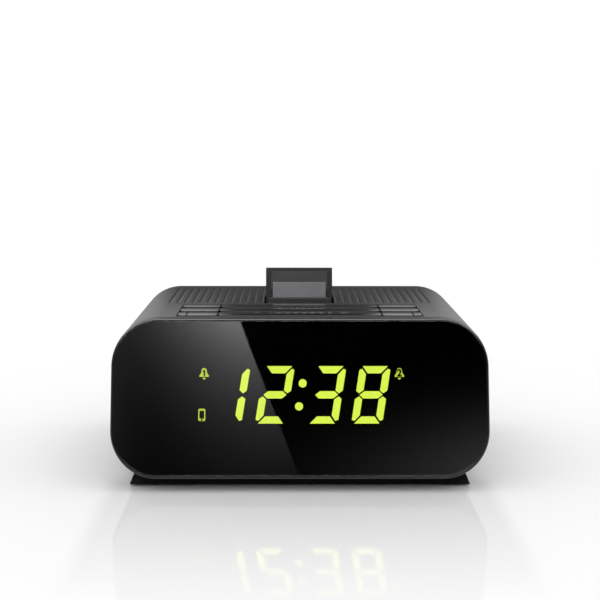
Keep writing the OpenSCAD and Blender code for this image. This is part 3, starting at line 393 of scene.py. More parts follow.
def ramp(tree, value, low, high, to_low=0, to_high=1):
    """Maps a value from one range to another, held at the ends."""
    inputs = {"Value": value, "From Min": low, "From Max": high,
              "To Min": to_low, "To Max": to_high}
    return put(tree, "ShaderNodeMapRange", {"interpolation_type": "SMOOTHSTEP"},
               inputs).outputs["Result"]


def bell_curve(tree, value, middle, width):
    """A soft bump: 1 at the middle, falling away on both sides."""
    away = maths(tree, "DIVIDE", maths(tree, "SUBTRACT", value, middle), width)
    squared = maths(tree, "MULTIPLY", away, away)
    return maths(tree, "EXPONENT", maths(tree, "MULTIPLY", squared, -1.0))


def fading(tree, value, start, length):
    """1 where the value passes its start, and less and less below it."""
    below = maths(tree, "MINIMUM", maths(tree, "SUBTRACT", value, start), 0.0)
    return maths(tree, "EXPONENT", maths(tree, "DIVIDE", below, length))


def blend_colour(tree, factor, first, second):
    """Mixes two colours: a Mix node's inputs 6 and 7 and its output 2 are its colours."""
    return put(tree, "ShaderNodeMix", {"data_type": "RGBA"},
               {"Factor": factor, 6: first, 7: second}).outputs[2]


def object_coordinates(tree):
    """A point's place on its own object, in metres."""
    return put(tree, "ShaderNodeTexCoord").outputs["Object"]


def xyz(tree, vector):
    """The X, Y and Z outputs of a vector."""
    return put(tree, "ShaderNodeSeparateXYZ", None, {0: vector}).outputs


def new_group(name, inputs, outputs):
    """A shader node group with float inputs and named outputs."""
    tree = bpy.data.node_groups.new(name, "ShaderNodeTree")
    for label, value in inputs.items():
        socket = tree.interface.new_socket(label, in_out="INPUT", socket_type="NodeSocketFloat")
        socket.default_value = value
    for label in outputs:
        tree.interface.new_socket(label, in_out="OUTPUT", socket_type="NodeSocketFloat")
    return tree, tree.nodes.new("NodeGroupInput").outputs, tree.nodes.new("NodeGroupOutput")


def make_moulded_grain():
    """Fine spark-eroded grain of a mould and its slow, wide variation of tone."""
    tree, given, out = new_group("moulded_grain", {"Grain Size": 0.2}, ["Grain", "Tone"])
    where = object_coordinates(tree)
    scale = maths(tree, "DIVIDE", 1 / MM, given["Grain Size"])
    tree.links.new(noise(tree, where, scale, 2, 0.6), out.inputs["Grain"])
    tree.links.new(noise(tree, where, 35, 3), out.inputs["Tone"])
    return tree


def make_edge_wear_and_highlight():
    """Where edges are rubbed bright and a highlight is painted along them: a mask from the turn
    of the surface, broken by noise.
    """
    tree, given, out = new_group("rubbed_and_highlit_edges", {"Reach": 0.0004, "Amount": 0.5}, ["Mask"])
    rounded = put(tree, "ShaderNodeBevel", {"samples": 4}, {"Radius": given["Reach"]})
    geometry = put(tree, "ShaderNodeNewGeometry")
    dot = put(tree, "ShaderNodeVectorMath", {"operation": "DOT_PRODUCT"},
              {0: rounded.outputs["Normal"], 1: geometry.outputs["Normal"]})
    turned = ramp(tree, dot.outputs["Value"], 0.995, 0.8)
    where = object_coordinates(tree)
    patches = ramp(tree, noise(tree, where, 260, 4), 0.42, 0.66)
    mask = maths(tree, "MULTIPLY", maths(tree, "MULTIPLY", turned, patches), given["Amount"])
    tree.links.new(mask, out.inputs["Mask"])
    return tree


def make_handling():
    """Dust that settles on level faces, and touch marks that change the gloss."""
    tree, given, out = new_group("handling", {"Dust Amount": 0.1}, ["Dust", "Touch"])
    where = object_coordinates(tree)
    geometry = put(tree, "ShaderNodeNewGeometry")
    level = ramp(tree, xyz(tree, geometry.outputs["Normal"])["Z"], 0.6, 1.0)
    specks = ramp(tree, noise(tree, where, 2600, 2), 0.55, 0.75)
    film = noise(tree, where, 60, 4)
    dust = maths(tree, "MULTIPLY", level, maths(tree, "MULTIPLY_ADD", specks, 0.5, film))
    tree.links.new(maths(tree, "MULTIPLY", dust, given["Dust Amount"]), out.inputs["Dust"])
    tree.links.new(ramp(tree, noise(tree, where, 90, 5, 0.6), 0.35, 0.7), out.inputs["Touch"])
    return tree


GRAIN = make_moulded_grain()
WEAR_AND_HIGHLIGHT = make_edge_wear_and_highlight()
HANDLING = make_handling()


def use_group(tree, group, **inputs):
    """Places a shared effect in a material, with its own values."""
    node = put(tree, "ShaderNodeGroup", {"node_tree": group})
    for label, value in inputs.items():
        node.inputs[label.replace("_", " ")].default_value = value
    return node.outputs


def new_material(name, **shader_values):
    """A material, its tree and its shader, with the shader's plain values set."""
    material = bpy.data.materials.new(name)
    material.use_nodes = True
    tree = material.node_tree
    shader = tree.nodes["Principled BSDF"]
    for label, value in shader_values.items():
        shader.inputs[label.replace("_", " ")].default_value = value
    return material, tree, shader


def grey(value):
    """A slightly cool grey."""
    return (value, value, value * 1.03, 1)


def bump_from(tree, shader, height, distance):
    """Feeds a height into the shader's normal; the distance is in metres."""
    bump = put(tree, "ShaderNodeBump", None,
               {"Height": height, "Distance": distance, "Strength": 1.0})
    tree.links.new(bump.outputs["Normal"], shader.inputs["Normal"])


def moulded_plastic(name, colour, roughness, grain_size=0.25, grain_depth=0.006, rub_and_highlight=0.25,
                    dust=0.05, **shader_values):
    """Moulded plastic: grain, uneven tone, rubbed edges with a painted highlight, a little dust
    and touch marks.
    """
    material, tree, shader = new_material(name, **shader_values)
    grain = use_group(tree, GRAIN, Grain_Size=grain_size)
    # The edge mask lightens rubbed edges and also paints a highlight along them.
    worn_and_highlit = use_group(tree, WEAR_AND_HIGHLIGHT, Reach=0.35 * MM, Amount=rub_and_highlight)["Mask"]
    marks = use_group(tree, HANDLING, Dust_Amount=dust)

    # The tone drifts by about a tenth; rubbed edges, lightened also as a painted highlight, are
    # more than twice as light.
    deep = [part * 0.9 for part in colour[:3]] + [1]
    pale = [part * 1.12 for part in colour[:3]] + [1]
    rubbed_and_highlit_colour = [min(part * 2.2 + 0.02, 1) for part in colour[:3]] + [1]
    tone = blend_colour(tree, grain["Tone"], deep, pale)
    tone = blend_colour(tree, worn_and_highlit, tone, rubbed_and_highlit_colour)
    tone = blend_colour(tree, marks["Dust"], tone, grey(0.35))
    tree.links.new(tone, shader.inputs["Base Color"])

    # Touch marks and grain move the roughness by about a tenth, and dust dulls it.
    gloss = maths(tree, "MULTIPLY_ADD", marks["Touch"], roughness * 0.14, roughness * 0.93)
    gloss = maths(tree, "MULTIPLY_ADD", grain["Grain"], roughness * 0.1, gloss)
    gloss = maths(tree, "MULTIPLY_ADD", marks["Dust"], 0.6, gloss)
    tree.links.new(gloss, shader.inputs["Roughness"])
    bump_from(tree, shader, grain["Grain"], grain_depth * MM)
    return material


def plated_metal(name, colour, roughness):
    """Plated or bare metal with fine drawing lines and slightly dull patches."""
    material, tree, shader = new_material(name, Metallic=1.0)
    where = object_coordinates(tree)
    stretched = put(tree, "ShaderNodeMapping", None, {"Vector": where, "Scale": (0.08, 1, 1)})
    streaks = noise(tree, stretched.outputs["Vector"], 3600, 3, 0.6)
    patches = noise(tree, where, 220, 3)
    dull = [part * 0.78 for part in colour[:3]] + [1]
    tree.links.new(blend_colour(tree, patches, dull, colour), shader.inputs["Base Color"])
    gloss = maths(tree, "MULTIPLY_ADD", streaks, roughness * 0.5, roughness * 0.75)
    tree.links.new(gloss, shader.inputs["Roughness"])
    bump_from(tree, shader, streaks, 0.002 * MM)
    return material


def smoked_acrylic():
    """Polished dark acrylic that lets only bright light through."""
    material, tree, shader = new_material("smoked_acrylic", Transmission_Weight=1.0, IOR=1.49)
    marks = use_group(tree, HANDLING, Dust_Amount=0.04)
    grain = use_group(tree, GRAIN, Grain_Size=0.5)
    tone = blend_colour(tree, grain["Tone"], (0.105, 0.105, 0.11, 1), (0.12, 0.12, 0.125, 1))
    tree.links.new(tone, shader.inputs["Base Color"])
    gloss = maths(tree, "MULTIPLY_ADD", marks["Touch"], 0.012, 0.012)
    tree.links.new(gloss, shader.inputs["Roughness"])
    bump_from(tree, shader, grain["Tone"], 0.004 * MM)
    return material


def glowing_resin(name, strength):
    """Clear yellow-green resin lit from behind, with a slow drift of its tint."""
    material, tree, shader = new_material(name, Emission_Strength=strength, Roughness=0.4)
    grain = use_group(tree, GRAIN, Grain_Size=0.8)
    glow = blend_colour(tree, grain["Tone"], (0.69, 0.9, 0.078, 1), (0.75, 0.96, 0.09, 1))
    tree.links.new(glow, shader.inputs["Emission Color"])
    tree.links.new(glow, shader.inputs["Base Color"])
    return material


def circuit_board():
    """Green solder resist with darker tracks and a fine glass weave below."""
    material, tree, shader = new_material("circuit_board", Roughness=0.35)
    where = object_coordinates(tree)
    tracks = put(tree, "ShaderNodeTexBrick", {"offset": 0.5}, {
        "Vector": where, "Scale": 260.0, "Mortar Size": 0.05, "Color1": (0.012, 0.1, 0.04, 1),
        "Color2": (0.016, 0.13, 0.05, 1), "Mortar": (0.03, 0.22, 0.09, 1)})
    tree.links.new(tracks.outputs["Color"], shader.inputs["Base Color"])
    weave = put(tree, "ShaderNodeTexWave", None, {"Vector": where, "Scale": 700.0})
    bump_from(tree, shader, weave.outputs["Fac"], 0.01 * MM)
    return material


def paper_pulp():
    """Black fibrous paper of a loudspeaker cone."""
    material, tree, shader = new_material("paper_pulp")
    where = object_coordinates(tree)
    fibres = noise(tree, where, 1400, 6, 0.7)
    tree.links.new(blend_colour(tree, fibres, grey(0.012), grey(0.05)),
                   shader.inputs["Base Color"])
    tree.links.new(ramp(tree, fibres, 0.3, 0.7, 0.75, 0.95), shader.inputs["Roughness"])
    bump_from(tree, shader, fibres, 0.08 * MM)
    return material


def ribbon_film():
    """Pale flexible film with its copper lines showing through."""
    material, tree, shader = new_material("ribbon_film", Roughness=0.4)
    where = object_coordinates(tree)
    lines = put(tree, "ShaderNodeTexWave", {"bands_direction": "X"},
                {"Vector": where, "Scale": 160.0, "Distortion": 0.0})
    tree.links.new(blend_colour(tree, lines.outputs["Fac"], (0.6, 0.56, 0.46, 1),
                                (0.45, 0.33, 0.2, 1)), shader.inputs["Base Color"])
    return material


# ---- materials, by the record's slots ----

# A moulded plastic is given by its colour, roughness, grain size and grain depth in
# millimetres, edge wear with its painted edge highlight, and dust; a plated metal by its colour
# and roughness.
MATERIALS = {
    "smoked_lens": smoked_acrylic(),
    "black_ink": moulded_plastic("black_ink", grey(0.003), 0.7, 0.5, 0.0004, 0, 0),
    "gloss_trim": moulded_plastic("gloss_trim", grey(0.008), 0.14, 0.4, 0.001, 0.1, 0.01),
    "display_black": moulded_plastic("display_black", grey(0.004), 0.6, dust=0, rub_and_highlight=0),
    "lit_resin": glowing_resin("lit_resin", 9.0),
    "circuit_board": circuit_board(),
    "zinc_steel": plated_metal("zinc_steel", (0.62, 0.62, 0.64, 1), 0.3),
    "satin_black": moulded_plastic("satin_black", grey(0.014), 0.35, 0.22, 0.008, 0.2, 0.02),
    "black_steel": plated_metal("black_steel", (0.06, 0.06, 0.065, 1), 0.4),
    "base_black": moulded_plastic("base_black", grey(0.003), 0.4, 0.3, 0.006, 0.1, 0.005,
                                  Specular_IOR_Level=0.12),
    "soft_rubber": moulded_plastic("soft_rubber", grey(0.012), 0.8, 0.35, 0.02, 0.1, 0.06),
    "frame_black": moulded_plastic("frame_black", grey(0.03), 0.5, 0.35, 0.01, 0.1, 0.01),
    "component_black": moulded_plastic("component_black", grey(0.018), 0.45, 0.3, 0.006),
    "pod_black": moulded_plastic("pod_black", grey(0.01), 0.34, 0.25, 0.006, 0.15, 0.01,
                                 Specular_IOR_Level=0.25),
    "plug_steel": plated_metal("plug_steel", (0.14, 0.14, 0.145, 1), 0.35),
    "spring_steel": plated_metal("spring_steel", (0.5, 0.5, 0.52, 1), 0.3),
    "bare_aluminium": plated_metal("bare_aluminium", (0.7, 0.7, 0.71, 1), 0.38),
    "capacitor_sleeve": moulded_plastic("capacitor_sleeve", (0.02, 0.035, 0.11, 1), 0.3),
    "speaker_steel": plated_metal("speaker_steel", (0.1, 0.1, 0.11, 1), 0.45),
    "paper_cone": paper_pulp(),
    "ferrite": moulded_plastic("ferrite", grey(0.05), 0.6, 0.5, 0.03),
    "wire_red": moulded_plastic("wire_red", (0.4, 0.02, 0.015, 1), 0.45),
    "ribbon_film": ribbon_film(),
    "key_black": moulded_plastic("key_black", grey(0.008), 0.22, 0.3, 0.004, 0.2, 0.01),
}
PRINT_GREY = moulded_plastic("print_grey", grey(0.08), 0.5, 0.2, 0.001, 0, 0)
SIGN_RESIN = glowing_resin("sign_resin", 6.0)
DARK_RESIN = moulded_plastic("dark_resin", grey(0.006), 0.4, 0.3, 0.002, 0, 0)


# ---- front panel ----

def outline_bar(name, inset, front, rear):
    """A bar with the cabinet's rounded outline, drawn in by an inset."""
    bar = block(name, (inset - HALF_W, front, BASE_Z + inset),
                (HALF_W - inset, rear, TOP_Z - inset))
    bevel_edges(bar, runs_along(1), CORNER_R - inset, CORNER_SEGMENTS)
    return bar


def panel_slab(name, inset, front, back):
    """A slab of that outline between two depths behind the panel's face."""
    slab = outline_bar(name, inset, FAR_FRONT, FAR_BEHIND_PANEL)
    slice_off(slab, on_panel(0, 0, front), PANEL_OUT)
    slice_off(slab, on_panel(0, 0, back), -PANEL_OUT)
    return slab


def reach(node):
    """Lowest and highest x, and distance up the panel, that a frame node takes up."""
    points = [v.co / MM for v in frame["nodes"][node].data.vertices]
    ups = [(point - PANEL_FOOT).dot(PANEL_UP) for point in points]
    xs = [point.x for point in points]
    return min(xs), max(xs), min(ups), max(ups)


def panel_block(name, area, front, back):
    """A box that stands square to the panel between two depths behind its face."""
    left, right, foot, head = area
    box = block(name, (left, front, foot), (right, back, head))
    box.data.transform(Matrix((
        (1, 0, 0, PANEL_FOOT.x), (0, -PANEL_OUT.y, PANEL_UP.y, PANEL_FOOT.y),
        (0, -PANEL_OUT.z, PANEL_UP.z, PANEL_FOOT.z), (0, 0, 0, 1))))
    return box


def edge_on_panel(depth, inset):
    """A test for edges that lie at a depth behind the face, on an inset of the outline."""
    def test(edge):
        return all(abs(behind_panel(v.co) - depth) < ON_PLANE
                   and abs(inside_outline(v.co) - inset) < ON_INSET for v in edge.verts)
    return test


def make_bezel():
    """The panel's gloss rim, rounded outside and in, with the plate that carries the display."""
    mask_back = LENS_T + MASK_T
    bezel = panel_slab("front_bezel_rim", 0, 0, BEZEL_T)
    bevel_edges(bezel, edge_on_panel(0, 0), RIM - RIM_LAND, segments=8)
    bevel_edges(bezel, edge_on_panel(BEZEL_T, 0), GROOVE_EDGE_R, segments=2)
    carve(bezel, panel_slab("recess", RIM, -CLEAR, mask_back))
    bevel_edges(bezel, edge_on_panel(0, RIM), RIM_INNER_R, segments=2)
    carve(bezel, panel_block("window", reach("led_block"), 0, BEZEL_T + CLEAR))
    plate = copy_of("front_bezel", "plate")
    slice_off(plate, on_panel(0, 0, BEZEL_T - PLATE_LAP), PANEL_OUT)
    meet(plate, outline_bar("plate_space", PLATE_INSET, FAR_FRONT, REAR_Y))
    weld(bezel, plate)
    tidy_mesh(bezel)
    return finish(bezel, "chassis", MATERIALS["gloss_trim"], ["front_bezel"])


def make_lens():
    """The smoked lens, with a polished chamfer round its face."""
    inset = RIM + LENS_GAP
    lens = panel_slab("smoked_front_lens", inset, 0, LENS_T - INK_GAP)
    bevel_edges(lens, edge_on_panel(0, inset), LENS_CHAMFER, segments=2)
    return finish(lens, "chassis", MATERIALS["smoked_lens"], ["front_lens"])


# ---- cabinet ----

def make_rib_cutter():
    """A sheet, closed above, whose rounded grooves dip into the top to leave soft ribs."""
    rear_row = box_mm("key_back_middle")[1].y
    front, rear = rear_row + RIB_START, JOINT_Y - RIB_END
    count = math.floor(FLAT_HALF_W / RIB_PITCH)
    half = (count + 0.5) * RIB_PITCH
    bpy.ops.mesh.primitive_grid_add(x_subdivisions=(2 * count + 1) * RIB_STEPS,
                                    y_subdivisions=RIB_STEPS, size=1,
                                    location=(0, (front + rear) / 2, TOP_Z + RIB_LIFT))
    sheet = bpy.context.object
    sheet.name = "ribs"
    sheet.scale = (2 * half, rear - front, 1)
    freeze(sheet)
    with editing(sheet) as mesh:
        for vertex in mesh.verts:
            from_end = min(vertex.co.y - front, rear - vertex.co.y)
            ease = min(max(from_end / RIB_FADE, 0), 1)
            ease = ease * ease * (3 - 2 * ease)
            wave = math.cos(2 * math.pi * vertex.co.x / RIB_PITCH)
            groove = max(wave + RIB_VALLEY, 0) / (1 + RIB_VALLEY)
            vertex.co.z -= (RIB_DEPTH + RIB_LIFT) * ease * groove
        bpy.ops.mesh.select_all(action="SELECT")
        bpy.ops.mesh.extrude_region_move(TRANSFORM_OT_translate={
            "value": (0, 0, RIB_CUTTER_T)})
        bpy.ops.mesh.select_all(action="SELECT")
        bpy.ops.mesh.normals_make_consistent(inside=False)
    return sheet


def keys_opening():
    """The space in the top that all nine keys share."""
    left, right = box_mm("key_front_left")[0], box_mm("key_back_right")[1]
    return block("keys_opening", (left.x - KEY_END_GAP, left.y - KEY_GAP, MID_Z),
                 (right.x + KEY_END_GAP, right.y + KEY_GAP, FAR_ABOVE))


def dock_opening():
    """The space in the top that the dock rocks in, inside the walls of its well."""
    well_low, well_high = box_mm("dock_well")
    half = box_mm("dock_pod")[1].x + DOCK_SIDE_GAP
    return block("dock_opening", (-half, well_low.y + WELL_WALL, MID_Z),
                 (half, well_high.y - WELL_WALL, FAR_ABOVE))


def make_cabinet():
    """The rounded shell with its bosses, its openings and its softly ribbed top."""
    groove_back = BEZEL_T + GROOVE
    shell = outline_bar("cabinet_shell", 0, FAR_FRONT, JOINT_Y)
    slice_off(shell, on_panel(0, 0, groove_back), PANEL_OUT)
    carve(shell, outline_bar("hollow", WALL - OVERLAP, FAR_FRONT, REAR_Y))
    carve(shell, keys_opening(), dock_opening())
    inside = copy_of("cabinet", "inside")
    slice_off(inside, on_panel(0, 0, groove_back + OVERLAP), PANEL_OUT)
    meet(inside, outline_bar("core", WALL - SKIN, FAR_FRONT, JOINT_Y - OVERLAP))
    weld(shell, inside)
    tidy_mesh(shell)

    def visible_edge(edge):
        a, b = (v.co for v in edge.verts)
        on_top = all(abs(p.z - TOP_Z) < ON_PLANE and abs(p.x) < FLAT_HALF_W - 2
                     for p in (a, b))
        at_rear = all(abs(p.y - JOINT_Y) < ON_PLANE and inside_outline(p) < ON_INSET
                      for p in (a, b))
        return on_top or at_rear
    bevel_edges(shell, visible_edge, SHELL_EDGE_R)
    bevel_edges(shell, edge_on_panel(groove_back, 0), GROOVE_EDGE_R, segments=2)
    carve(shell, make_rib_cutter())
    return finish(shell, "chassis", MATERIALS["satin_black"], ["cabinet"])


# ---- keys ----

def duplicate(piece):
    """A second piece with its own copy of the mesh."""
    twin = bpy.data.objects.new(piece.name + "_twin", piece.data.copy())
    bpy.context.scene.collection.objects.link(twin)
    return twin


def make_cap(node):
    """A key's cap: rounded in plan and crowned, and widened towards its neighbours; the
    outer front keys have a cut line."""
    low, high = box_mm(node)

    # The ends that face another key move out towards it.
    for corner, other in ((low, high), (high, low)):
        if abs(corner.x) < abs(other.x) or node.endswith("middle"):
            corner.x += math.copysign(KEY_WIDENING, corner.x - other.x)
    cap = block(node + "_cap", (low.x, low.y, high.z - CAP_H), high)
    bevel_edges(cap, runs_along(2), KEY_CORNER_R, segments=6)
    axis = Vector((0, low.y + CROWN_Y, high.z - CROWN_R))
    side = Vector((HALF_W, 0, 0))
    meet(cap, rod("crown", axis - side, axis + side, CROWN_R, CROWN_SEGMENTS))
    line_x = math.copysign(LINE_X, low.x + high.x)
    if node in ("key_front_left", "key_front_right"):
        carve(cap, block("line", (line_x - LINE_W / 2, low.y - CLEAR, high.z - LINE_DEPTH),
                         (line_x + LINE_W / 2, high.y + CLEAR, high.z + CLEAR)))

    def rim(edge):
        a, b = (v.co for v in edge.verts)
        upper = min(a.z, b.z) > high.z - 1
        of_line = max(abs(a.x - line_x), abs(b.x - line_x)) < LINE_W
        return upper and not of_line and edge.calc_face_angle(0) > math.radians(40)
    bevel_edges(cap, rim, KEY_EDGE_R)
    return cap


def make_key(node):
    """A key on the stems of its frame node, with its signs printed on its crown."""
    low, high = box_mm(node)
    cap = make_cap(node)
    if node in KEY_SIGNS:
        print_signs(node, cap, KEY_SIGNS[node]((low.y + high.y) / 2, high.z))
    stems = copy_of(node, "stems")
    slice_off(stems, (0, 0, high.z - CAP_H), (0, 0, 1))
    axis = Vector((low.y + CROWN_Y, high.z - CROWN_R))

    def on_crown(face):
        return all(abs((v.co.yz - axis).length - CROWN_R) < ON_PLANE for v in face.verts)
    return finish(gather(node + "_cap", [cap, stems]), body_of(node),
                  MATERIALS["key_black"], [node], strong=on_crown)


def print_signs(node, cap, signs):
    """A thin film of print that follows a cap's crown in the shape of its signs."""
    film = duplicate(cap)
    film.data.transform(Matrix.Translation((0, 0, PRINT_T)))
    meet(film, gather("signs", signs))
    carve(film, duplicate(cap))
    film.name = node + "_print"
    finish(film, body_of(node), PRINT_GREY)


def column(x, y, z, radius, segments=24):
    """An upright round cutter for a sign."""
    return rod("sign", (x, y, z - CLEAR), (x, y, z + CLEAR), radius, segments)


def slab(x, y, z, width, depth, turn=0):
    """An upright square cutter for a sign, turned about its middle."""
    piece = block("sign", (-width / 2, -depth / 2, -CLEAR), (width / 2, depth / 2, CLEAR))
    piece.rotation_euler.z = turn
    piece.location = (x, y, z)
    return freeze(piece)


def sun(x, y, z, size):
    """A disc with eight rays."""
    away, disc_r = size * 0.8, size * 0.42
    ray_length, ray_width = size * 0.42, size * 0.16
    rays = []
    for k in range(8):
        turn = k * math.pi / 4
        rays.append(slab(x + math.cos(turn) * away, y + math.sin(turn) * away, z,
                         ray_length, ray_width, turn))
    return [column(x, y, z, disc_r)] + rays


def brightness_signs(y, z):
    """A small sun, bars that grow, and a large sun."""
    foot = y - 1.85
    first_x, step, width = -10.5, 3, 1.3
    heights = [0.5 + 0.4 * k for k in range(8)]
    bars = [slab(first_x + k * step, foot + height / 2, z, width, height)
            for k, height in enumerate(heights)]
    return sun(-15.4, y, z, 1.2) + bars + sun(15.6, y, z, 2.1)


def sleep_signs(y, z):
    """A crescent moon and a short row of dots."""
    moon_x, moon_r = -6.6, 1.6
    bite_x, bite_r = -5.9, 1.4
    moon = carve(column(moon_x, y, z, moon_r), column(bite_x, y + 0.5, z, bite_r))
    first_x, step, dot_r = -3, 2.2, 0.5
    return [moon] + [column(first_x + k * step, y, z, dot_r) for k in range(5)]


def play_signs(y, z):
    """A triangle that points to the right, and two upright bars."""
    triangle = column(0, 0, z, radius=1.7, segments=3)
    triangle.rotation_euler.z = math.radians(90)
    triangle.location = (-5.4, y, 0)
    bar_width, bar_height = 0.8, 2.8
    return [freeze(triangle)] + [slab(x, y, z, bar_width, bar_height) for x in (4.6, 6.4)]


KEY_SIGNS = {"key_front_middle": brightness_signs, "key_centre_middle": sleep_signs,
             "key_back_middle": play_signs}


# ---- display ----

# The strokes of each digit that show 12:38, and a stroke's letter by its step across and up
# from the middle of its digit.
LIT_STROKES = ["bc", "abged", "abgcd", "abcdefg"]
STROKE_LETTERS = {(0, 2): "a", (1, 1): "b", (1, -1): "c", (0, -2): "d", (-1, -1): "e",
                  (-1, 1): "f", (0, 0): "g"}
DIGIT_XS = (-24.275, -8.925, 8.925, 24.275)
DIGIT_SLANT = math.tan(math.radians(9))
STEP_ACROSS = 4.2
STEP_UP = 4.6
COLON_HALF_W = 2
STROKE_SIZE = 0.972
STROKE_EDGE_R = 0.12


def centre_of(piece):
    """The mean of a piece's corners."""
    corners = [v.co for v in piece.data.vertices]
    return sum(corners, Vector()) / len(corners)


def loose_parts(piece):
    """Splits a piece into its separate solids."""
    with editing(piece):
        bpy.ops.mesh.select_all(action="SELECT")
        bpy.ops.mesh.separate(type="LOOSE")
    return list(bpy.context.selected_objects)


def is_lit(x, up):
    """Whether the stroke at this place from the display's middle shows in the time."""
    upright = x - up * DIGIT_SLANT
    if abs(upright) < COLON_HALF_W:
        return True
    place = min(range(4), key=lambda k: abs(upright - DIGIT_XS[k]))
    steps = (round((upright - DIGIT_XS[place]) / STEP_ACROSS), round(up / STEP_UP))
    return STROKE_LETTERS[steps] in LIT_STROKES[place]


def make_strokes():
    """The display's strokes in two pieces: those that show the time, and the dark ones."""
    parts = loose_parts(copy_of("digit_segments", "stroke"))
    centres = [centre_of(part) for part in parts]
    middle = sum(centres, Vector()) / len(centres)
    lit, dark = [], []
    for part, centre in zip(parts, centres):
        shown = is_lit(centre.x - middle.x, (centre - middle).dot(PANEL_UP))
        (lit if shown else dark).append(part)
        there = Matrix.Translation(centre)
        part.data.transform(there @ Matrix.Scale(STROKE_SIZE, 4) @ there.inverted())
    glow = gather("lit_strokes", lit)
    rest = gather("unlit_strokes", dark)
    for group in (glow, rest):
        apply_modifier(group, "BEVEL", width=STROKE_EDGE_R, segments=2, limit_method="ANGLE",
                       angle_limit=math.radians(30))
    finish(glow, "chassis", MATERIALS["lit_resin"], ["digit_segments"])
    finish(rest, "chassis", DARK_RESIN, ["digit_segments"])


# ---- signs beside the time ----

SIGN_T = 0.3
SIGN_BACKING_GAP = 0.02
NUMBER_DEPTHS = (-0.12, 0.05)
PHONE_SIZE = (2.4, 4.2)
PHONE_CORNER_R = 0.5
PHONE_FROM_LEFT = 1.42
PHONE_FROM_FOOT = 2.4
SCREEN_SIZE = (1.66, 2.7)
SCREEN_CORNER_R = 0.1
SCREEN_UP = 0.06
BUTTON_R = 0.36
BUTTON_UP = -1.68
BELL_FROM_LEFT = 2.12
BELL_FROM_RIGHT = 1.95
BELL_FROM_HEAD = 0.65
CLAPPER_UP = -3.42
NUMBER_UP = -1.8
TWO_HEIGHT = 3.4
TWO_WEIGHT = 0.13
ONE = [(0.36, 1.1), (0.36, -1.1), (-0.16, -1.1), (-0.16, 0.5), (-0.5, 0.36), (-0.5, 0.76),
       (-0.04, 1.1)]


def panel_prism(name, outline, x, up, front, back):
    """A solid with an outline given across and up the panel, between two depths."""
    count = len(outline)
    bpy.ops.mesh.primitive_cylinder_add(vertices=count, radius=1, depth=2)
    prism = bpy.context.object
    prism.name = name
    with editing(prism) as mesh:
        for vertex in mesh.verts:
            turn = math.atan2(vertex.co.x, vertex.co.y) % (2 * math.pi)
            spot = outline[round(turn / (2 * math.pi) * count) % count]
            depth = front if vertex.co.z > 0 else back
            vertex.co = on_panel(x + spot[0], up + spot[1], depth)
        bpy.ops.mesh.select_all(action="SELECT")
        bpy.ops.mesh.normals_make_consistent(inside=False)
    return prism


def bell_shape():
    """Half-widths down a bell, mirrored into a closed outline that runs clockwise."""
    dome = [(0.9 * math.sin(k * math.pi / 16), 0.9 * math.cos(k * math.pi / 16) - 0.9)
            for k in range(9)]
    flare = [(0.96, -1.35), (1.08, -1.76), (1.35, -2.2), (1.58, -2.52), (1.67, -2.75),
             (1.66, -2.95), (1.53, -3.06)]
    right = dome + flare
    return right + [(-x, up) for x, up in reversed(right[1:])]


def rounded_rectangle(width, height, radius, steps=6):
    """An outline that runs clockwise from its upper right corner."""
    outline = []
    for corner in range(4):
        turn = corner * math.pi / 2
        sign_x = 1 if corner in (0, 1) else -1
        sign_up = 1 if corner in (0, 3) else -1
        for k in range(steps + 1):
            angle = turn + k * math.pi / 2 / steps
            outline.append((sign_x * (width / 2 - radius) + radius * math.sin(angle),
                            sign_up * (height / 2 - radius) + radius * math.cos(angle)))
    return outline


def clapper_shape():
    """The half-round outline of a bell's clapper."""
    return [(0.5 * math.cos(k * math.pi / 12), -0.55 * math.sin(k * math.pi / 12))
            for k in range(13)]


def panel_two(x, up, front, back):
    """A flat bold 2 on the panel, between two depths."""
    bpy.ops.object.text_add()
    number = bpy.context.object
    number.data.body = "2"
    number.data.size = TWO_HEIGHT
    number.data.align_x = "CENTER"
    number.data.align_y = "CENTER"
    number.data.extrude = (back - front) / 2
    number.data.offset = TWO_WEIGHT
    only(number)
    bpy.ops.object.convert(target="MESH")
    number.data.transform(Matrix((
        (1, 0, 0, 0), (0, PANEL_UP.y, PANEL_OUT.y, 0),
        (0, PANEL_UP.z, PANEL_OUT.z, 0), (0, 0, 0, 1))))
    number.data.transform(Matrix.Translation(on_panel(x, up, (front + back) / 2)))
    with editing(number):
        bpy.ops.mesh.select_all(action="SELECT")
        bpy.ops.mesh.remove_doubles(threshold=1e-4)
    return number


def make_phone_sign(x, up, front, back):
    """An upright phone with an open screen and a round button."""
    through = (front - CLEAR, back + CLEAR)
    phone = panel_prism("phone", rounded_rectangle(*PHONE_SIZE, PHONE_CORNER_R), x, up,
                        front, back)
    screen = panel_prism("screen", rounded_rectangle(*SCREEN_SIZE, SCREEN_CORNER_R), x,
                         up + SCREEN_UP, *through)
    round_outline = rounded_rectangle(2 * BUTTON_R, 2 * BUTTON_R, 0.99 * BUTTON_R)
    button = panel_prism("button", round_outline, x, up + BUTTON_UP, *through)
    return carve(phone, screen, button)


